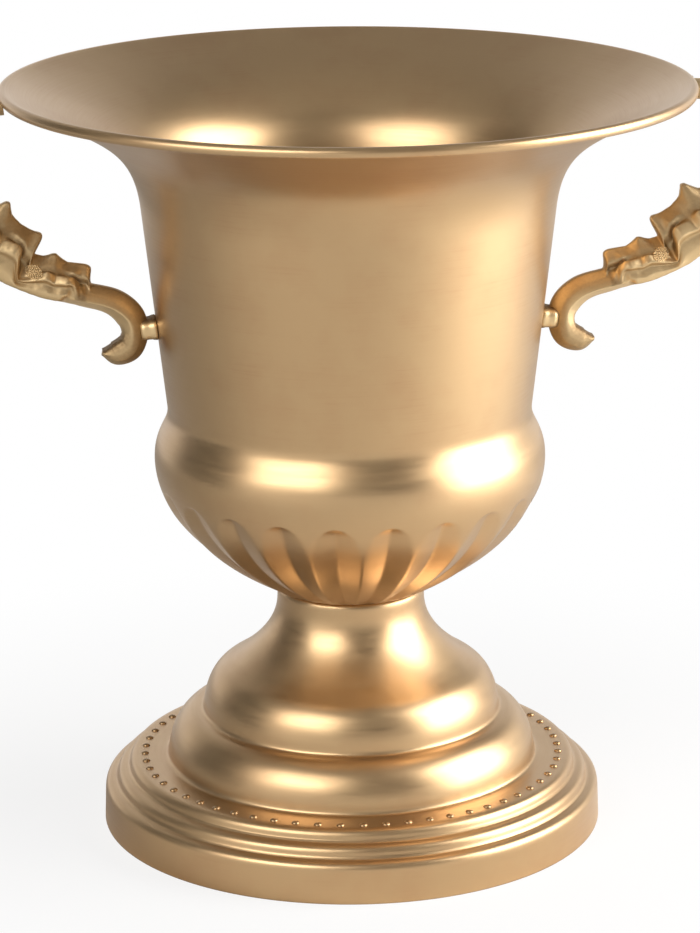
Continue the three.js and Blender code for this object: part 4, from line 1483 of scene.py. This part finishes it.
@dataclass
class FootBolt:
    """Bolt that draws the bowl down on the foot, with its nut, washers and seal.

    The seal and the washers are given by radius, thickness and softened edge.
    """

    foot: Foot
    radius: float = 3.0
    flats: float = 10.0
    head_height: float = 4.0
    nut_height: float = 5.0
    end: float = 3.0
    point: tuple[float, float] = (0.6, 0.5)
    thread_pitch: float = 1.0
    thread_depth: float = 0.45
    thread_root: float = 0.5
    thread_crest: float = 0.95
    hole: float = 3.3
    seal: tuple[float, float, float] = (12.0, 2.0, 0.4)
    bowl_washer: tuple[float, float, float] = (10.0, 1.2, 0.2)
    foot_washer: tuple[float, float, float] = (16.0, 1.6, 0.2)
    chamfer: float = 0.55
    chamfer_fall: float = 0.35
    flat_fall: float = 0.05
    crown_share: float = 0.55
    bore_chamfer: float = 0.25
    hexagon_steps: int = 96
    shank_steps: int = 32
    ring_steps: int = 64

    def hexagon(self, height: float, hole: float, both: bool) -> Skin:
        """Form a hexagon with chamfered corners, standing on Z = 0.

        Args:
            height: Its height.
            hole: Radius of its hole, or 0 for a solid one.
            both: Whether its lower corners are chamfered too.

        Returns:
            The closed hexagon.
        """
        count = self.hexagon_steps
        turn = 2 * math.pi * np.arange(count) / count
        apart = np.abs((turn + math.pi / 6) % (math.pi / 3) - math.pi / 6)
        edge = self.flats / 2 / np.cos(math.pi / 6 - apart)
        full = self.flats / math.sqrt(3)
        cone = full - self.chamfer
        levels = [
            (0.0, np.minimum(edge, cone if both else full)),
            (self.chamfer_fall if both else self.flat_fall, edge),
            (height - self.chamfer_fall, edge),
            (height, np.minimum(edge, cone)),
            (height, np.full_like(turn, self.crown_share * self.flats / 2)),
        ]
        if hole:
            bore, deep = np.full_like(turn, hole), self.bore_chamfer
            levels += [(height, bore + deep), (height - deep, bore), (deep, bore), (0.0, bore + deep)]
        rings = [
            np.stack([reach * np.cos(turn), reach * np.sin(turn), np.full_like(turn, level)], axis=1)
            for level, reach in levels
        ]
        faces = lattice(len(rings), count, closed=bool(hole), flip=True)
        if not hole:
            faces.append(tuple(range(count))[::-1])
            faces.append(tuple((len(rings) - 1) * count + j for j in range(count)))
        return Skin(np.vstack(rings), faces)

    def shank(self, low: float, high: float) -> Skin:
        """Turn the threaded shank.

        Args:
            low: Height of its end.
            high: Height where it enters the head.

        Returns:
            The closed shank.
        """
        inset, rise = self.point
        turns = int((high - low - 2 * rise) / self.thread_pitch)
        rows = [[0, low], [self.radius - inset, low], [self.radius, low + rise]]
        for i in range(turns):
            at = low + rise + i * self.thread_pitch
            rows.append([self.radius - self.thread_depth, at + self.thread_root * self.thread_pitch])
            rows.append([self.radius, at + self.thread_crest * self.thread_pitch])
        rows += [[self.radius, high], [0, high]]
        return lathe_solid(np.array(rows), self.shank_steps)

    def build(self, steel: bpy.types.Material, rubber: bpy.types.Material) -> list[bpy.types.Object]:
        """Make the bolt and what it clamps.

        Args:
            steel: Finish of the metal pieces.
            rubber: Finish of the seal.

        Returns:
            The pieces.
        """
        seal_foot = self.foot.seat + self.foot.sheet
        washer_foot = seal_foot + self.seal[1]
        head_foot = washer_foot + self.bowl_washer[1]
        plate = self.foot.seat - self.foot.sheet - self.foot_washer[1]
        low = plate - self.nut_height - self.end
        up = Matrix.Translation
        head = self.hexagon(self.head_height, 0, both=False).moved(up((0, 0, head_foot)))
        bolt = Skin.together([head, self.shank(low, head_foot + self.head_height / 2)])
        nut = self.hexagon(self.nut_height, self.hole, both=True).moved(up((0, 0, plate - self.nut_height)))
        rings = (
            ("bowl_seal", self.seal, seal_foot, rubber, Slot.SEAL_RUBBER),
            ("bowl_washer", self.bowl_washer, washer_foot, steel, Slot.ZINC_STEEL),
            ("foot_washer", self.foot_washer, plate, steel, Slot.ZINC_STEEL),
        )
        pieces = [make_piece("hex_bolt", bolt, steel, "foot_bolt")]
        for node, size, level, finish, slot in rings:
            ring = flat_ring(self.hole, *size, self.ring_steps, punched=True).moved(up((0, 0, level)))
            pieces.append(make_piece(f"{node}_ring", ring, finish, node))
        pieces.append(make_piece("hex_nut", nut, steel, "foot_nut"))
        return pieces


@dataclass
class HandleScrew:
    """Pan-head screw that holds a handle's boss from inside the bowl, with its rubber seal."""

    handle: Handle
    radius: float = 1.5
    grip: float = 5.0
    point: float = 0.6
    head_radius: float = 3.0
    head_height: float = 2.2
    head_flat: float = 1.6
    head_edge: float = 0.2
    head_bevel: float = 0.1
    head_steps: int = 30
    crown_height: float = 0.8
    slot_width: float = 0.9
    slot_depth: float = 1.0
    slot_reach: float = 1.75
    slot_flare: float = 0.12
    slot_side: float = 0.2
    slot_end: float = 0.3
    segments: int = 64
    seal_radius: float = 4.0
    seal_thickness: float = 1.0
    seal_edge: float = 0.3
    seal_segments: int = 40

    def screw(self, head_face: float) -> Skin:
        """Form the screw about Z, pointing up, with a cross in its head.

        Args:
            head_face: Height of the head's clamping face.

        Returns:
            The closed screw.
        """
        low, wide = head_face - self.head_height, self.head_radius
        side = ((wide, low + self.head_edge), (wide, head_face - self.head_edge))
        crown = bezier(((0, low), (self.head_flat, low), *side), self.head_steps)
        under = [[wide - self.head_bevel, head_face], [self.radius, head_face]]
        shank = [[self.radius, self.grip - self.point], [0, self.grip]]
        skin = lathe_solid(np.vstack([crown, under, shank]), self.segments)
        x, y, z = skin.points.T
        arm = np.minimum(np.abs(x), np.abs(y))
        long = np.maximum(np.abs(x), np.abs(y))
        across = np.clip((self.slot_width / 2 + self.slot_flare - arm) / self.slot_side, 0, 1)
        in_slot = across * np.clip((self.slot_reach - long) / self.slot_end, 0, 1)
        on_crown = z < low + self.crown_height
        skin.points[:, 2] = z + self.slot_depth * in_slot * on_crown
        return skin

    def seal(self, foot: float) -> Skin:
        """Turn the seal about Z, with its lower face at a height."""
        hole = self.radius + self.handle.gap
        size = (hole, self.seal_radius, self.seal_thickness, self.seal_edge)
        return flat_ring(*size, self.seal_segments, punched=False).moved(Matrix.Translation((0, 0, foot)))

    def build(self, steel: bpy.types.Material, rubber: bpy.types.Material) -> list[bpy.types.Object]:
        """Make the screw and its seal on the handle's side of the vase.

        Args:
            steel: Finish of the screw.
            rubber: Finish of the seal.

        Returns:
            The pieces.
        """
        handle, bowl = self.handle, self.handle.bowl
        inner = handle.boss_place[0] - bowl.sheet
        sink = inner - math.sqrt(inner**2 - self.seal_radius**2)
        seal_foot = -bowl.sheet - sink - handle.gap - self.seal_thickness
        onto = Matrix.Rotation(handle.side.value, 4, "Z") @ handle.boss_frame
        side = handle.side.name.lower()
        screw = self.screw(seal_foot - handle.gap).moved(onto)
        seal = self.seal(seal_foot).moved(onto)
        return [
            make_piece(f"pan_screw_{side}", screw, steel, f"{side}_handle_screw"),
            make_piece(f"screw_seal_ring_{side}", seal, rubber, f"{side}_screw_seal"),
        ]


def bearing(azimuth: float, elevation: float) -> Vector:
    """Find a direction from the vase.

    Args:
        azimuth: Angle from the front towards the right, in degrees.
        elevation: Angle above the floor, in degrees.

    Returns:
        The unit vector.
    """
    turn, rise = math.radians(azimuth), math.radians(elevation)
    return Vector((math.sin(turn) * math.cos(rise), -math.cos(turn) * math.cos(rise), math.sin(rise)))


def flat_sheet(name: str, size: tuple[float, float], material: bpy.types.Material) -> bpy.types.Object:
    """Make a flat sheet of the studio, facing up.

    Args:
        name: Its name.
        size: Its two sides.
        material: Its finish.

    Returns:
        The sheet, marked as stage.
    """
    x, y = size[0] / 2, size[1] / 2
    mesh = bpy.data.meshes.new(name)
    mesh.from_pydata([(-x, -y, 0), (x, -y, 0), (x, y, 0), (-x, y, 0)], [], [(0, 1, 2, 3)])
    mesh.materials.append(material)
    sheet = bpy.data.objects.new(name, mesh)
    bpy.context.scene.collection.objects.link(sheet)
    return sheet


@dataclass(frozen=True)
class Hanging:
    """Something flat that hangs in the studio and faces the vase."""

    name: str
    azimuth: float
    elevation: float
    distance: float
    size: tuple[float, float]

    def hang(self, thing: bpy.types.Object, target: Vector) -> None:
        """Set a thing at its place, out of the camera's sight.

        Args:
            thing: What hangs there.
            target: Point that it faces.
        """
        away = bearing(self.azimuth, self.elevation)
        thing.location = target + away * self.distance
        thing.rotation_euler = away.to_track_quat("Z", "Y").to_euler()
        thing.visible_camera = False


@dataclass(frozen=True)
class Softbox(Hanging):
    """A flat studio light."""

    brightness: float
    colour: str = "#FFFFFF"

    def build(self, target: Vector) -> None:
        """Hang the light.

        Args:
            target: Point that it faces.
        """
        lamp = bpy.data.lights.new(self.name, "AREA")
        lamp.shape = "RECTANGLE"
        lamp.size, lamp.size_y = self.size
        lamp.energy = self.brightness * math.pi * self.size[0] * self.size[1]
        lamp.color = hex_linear(self.colour)[:3]
        light = bpy.data.objects.new(self.name, lamp)
        bpy.context.scene.collection.objects.link(light)
        self.hang(light, target)


@dataclass(frozen=True)
class NetCloth(Finish):
    """Woven studio net: the eye would see matt threads with open meshes between them."""

    name: str
    colour: str
    open_share: float

    def shader(self, tree: bpy.types.NodeTree) -> bpy.types.Node:
        """Add the threads, the open meshes and the mix of both.

        Args:
            tree: The material's tree.

        Returns:
            The shader node.
        """
        threads = add_node(tree, "ShaderNodeBsdfDiffuse", {"Color": hex_linear(self.colour)}).outputs[0]
        meshes = add_node(tree, "ShaderNodeBsdfTransparent").outputs[0]
        return add_node(tree, "ShaderNodeMixShader", {0: self.open_share, 1: threads, 2: meshes})


@dataclass(frozen=True)
class FloorPaint(Finish):
    """Matt pale paint on the studio floor, with radii in metres.

    The eye sees it run out to white away from the vase, and the metal mirrors a white cove round it.
    """

    colour: str = "#F4F3F1"
    white_at_vase: float = 0.82
    clear_radii: tuple[float, float] = (0.09, 0.28)
    cove_radii: tuple[float, float] = (0.6, 1.1)
    cove_white: float = 0.95
    name: str = "floor_matt_pale"

    def shader(self, tree: bpy.types.NodeTree) -> bpy.types.Node:
        """Add the paint, the white and the mix of both.

        Args:
            tree: The material's tree.

        Returns:
            The shader node.
        """
        place = add_node(tree, "ShaderNodeTexCoord").outputs["Object"]
        away = add_node(tree, "ShaderNodeVectorMath", {0: place}, operation="LENGTH").outputs["Value"]
        path = add_node(tree, "ShaderNodeLightPath").outputs
        whites = []
        for ray, radii, near, far in (
            ("Is Camera Ray", self.clear_radii, self.white_at_vase, 1.0),
            ("Is Glossy Ray", self.cove_radii, 0.0, self.cove_white),
        ):
            fade = add_node(
                tree,
                "ShaderNodeMapRange",
                {"Value": away, 1: radii[0], 2: radii[1], 3: near, 4: far},
                interpolation_type="SMOOTHSTEP",
            ).outputs[0]
            seen = add_node(tree, "ShaderNodeMath", {0: fade, 1: path[ray]}, operation="MULTIPLY")
            whites.append(seen.outputs[0])
        mixed = add_node(tree, "ShaderNodeMath", dict(enumerate(whites)), operation="MAXIMUM").outputs[0]
        matt = add_node(
            tree, "ShaderNodeBsdfDiffuse", {"Color": hex_linear(self.colour), "Roughness": 0.0}
        ).outputs[0]
        white = add_node(tree, "ShaderNodeEmission", {"Color": (1, 1, 1, 1), "Strength": 1.0}).outputs[0]
        return add_node(tree, "ShaderNodeMixShader", {0: mixed, 1: matt, 2: white})


@dataclass(frozen=True)
class Net(Hanging):
    """A sheet of net that holds back a share of the room's white in the metal's mirror images."""

    open_share: float
    colour: str = "#D8D6D2"

    def build(self, target: Vector) -> None:
        """Hang the net, so that it takes no light from the vase and throws no shadow.

        Args:
            target: Point that it faces.
        """
        cloth = NetCloth(f"{self.name}_cloth", self.colour, self.open_share)
        sheet = flat_sheet(self.name, self.size, cloth.material())
        self.hang(sheet, target)
        sheet.visible_diffuse = False
        sheet.visible_shadow = False


@dataclass
class Studio:
    """White studio: a pale floor, two softboxes and nets that hold back the room's white."""

    floor_size: float = 8.0
    world_fill: float = 0.03
    target: Vector = field(default_factory=lambda: Vector((0, 0, 0.12)))
    # Name, azimuth, elevation, distance and size, then a softbox's brightness or a net's open share.
    hangings: tuple[Softbox | Net, ...] = (
        Softbox("softbox_left", -42, 31, 1.3, (0.95, 0.7), brightness=4.7),
        Softbox("softbox_right", 78, 20, 0.78, (0.67, 0.67), brightness=7.2),
        Net("net_ceiling", 0, 88, 2.2, (5.0, 5.0), open_share=0.28),
        Net("net_left", -100, 16, 1.0, (1.0, 1.0), open_share=0.13, colour="#17130F"),
        Net("net_front", 0, 35, 1.7, (4.0, 1.9), open_share=0.04),
        Net("net_back", 180, 44, 1.8, (4.0, 1.3), open_share=0.45),
    )

    def white_for_eye(self, tree: bpy.types.NodeTree) -> bpy.types.NodeSocket:
        """Add a switch that is 1 for camera, glossy and transmission rays.

        Args:
            tree: Tree that receives the nodes.

        Returns:
            The switch's output.
        """
        path = add_node(tree, "ShaderNodeLightPath").outputs
        seen = add_node(
            tree, "ShaderNodeMath", {0: path["Is Camera Ray"], 1: path["Is Glossy Ray"]}, operation="MAXIMUM"
        ).outputs[0]
        return add_node(
            tree, "ShaderNodeMath", {0: seen, 1: path["Is Transmission Ray"]}, operation="MAXIMUM"
        ).outputs[0]

    def build_world(self) -> None:
        """Fill the room with even light and show it white."""
        world = bpy.data.worlds.new("studio_room")
        world.use_nodes = True
        tree = world.node_tree
        tree.nodes.clear()
        seen = self.white_for_eye(tree)
        strength = add_node(
            tree, "ShaderNodeMapRange", {"Value": seen, 1: 0.0, 2: 1.0, 3: self.world_fill, 4: 1.0}
        ).outputs[0]
        white = {"Color": (1, 1, 1, 1), "Strength": strength}
        ground = add_node(tree, "ShaderNodeBackground", white).outputs[0]
        add_node(tree, "ShaderNodeOutputWorld", {"Surface": ground})
        bpy.context.scene.world = world

    def build(self) -> None:
        """Set up the room, the floor, the lights and the nets."""
        self.build_world()
        flat_sheet("studio_floor", (self.floor_size, self.floor_size), FloorPaint().material())
        for hanging in self.hangings:
            hanging.build(self.target)


@dataclass
class PhotoCamera:
    """Camera of the photograph: a long lens in front of the vase, a little to the left, looking down."""

    distance: float = 1103.0
    height: float = 438.7
    azimuth: float = -6.0
    pitch: float = 16.197
    roll: float = -0.31
    focal_pixels: float = 3540.0
    image_width: int = 700
    sensor: float = 36.0
    clip: tuple[float, float] = (0.01, 50.0)

    def build(self) -> bpy.types.Object:
        """Set up the camera and make it the scene's.

        Returns:
            The camera.
        """
        lens = bpy.data.cameras.new("photo_camera")
        lens.sensor_fit = "HORIZONTAL"
        lens.sensor_width = self.sensor
        lens.lens = self.focal_pixels * self.sensor / self.image_width
        lens.clip_start, lens.clip_end = self.clip
        camera = bpy.data.objects.new("photo_camera", lens)
        level = bearing(self.azimuth, 0)
        camera.location = level * self.distance * MILLIMETRE + Vector((0, 0, self.height * MILLIMETRE))
        aim = -bearing(self.azimuth, self.pitch)
        camera.rotation_mode = "QUATERNION"
        tilt = Quaternion((0, 0, 1), math.radians(self.roll))
        camera.rotation_quaternion = aim.to_track_quat("-Z", "Y") @ tilt
        bpy.context.scene.collection.objects.link(camera)
        bpy.context.scene.camera = camera
        return camera


def main() -> None:
    """Build the vase, its studio and its camera."""
    logging.basicConfig(level=logging.INFO, format="%(name)s: %(message)s")
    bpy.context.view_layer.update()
    spun, cast = SpunBrass().material(), CastBrass().material()
    steel, rubber = ZincSteel().material(), SealRubber().material()
    foot = Foot()
    foot.build(spun)
    bowl = Bowl(seat=foot.seat, neck_radius=foot.neck_radius)
    bowl.build(spun)
    FootBolt(foot).build(steel, rubber)
    for side in Side:
        handle = Handle(bowl, side)
        handle.build(cast)
        HandleScrew(handle).build(steel, rubber)
    Studio().build()
    PhotoCamera().build()
    bpy.context.scene.view_settings.view_transform = "Standard"


if __name__ == "__main__":
    main()
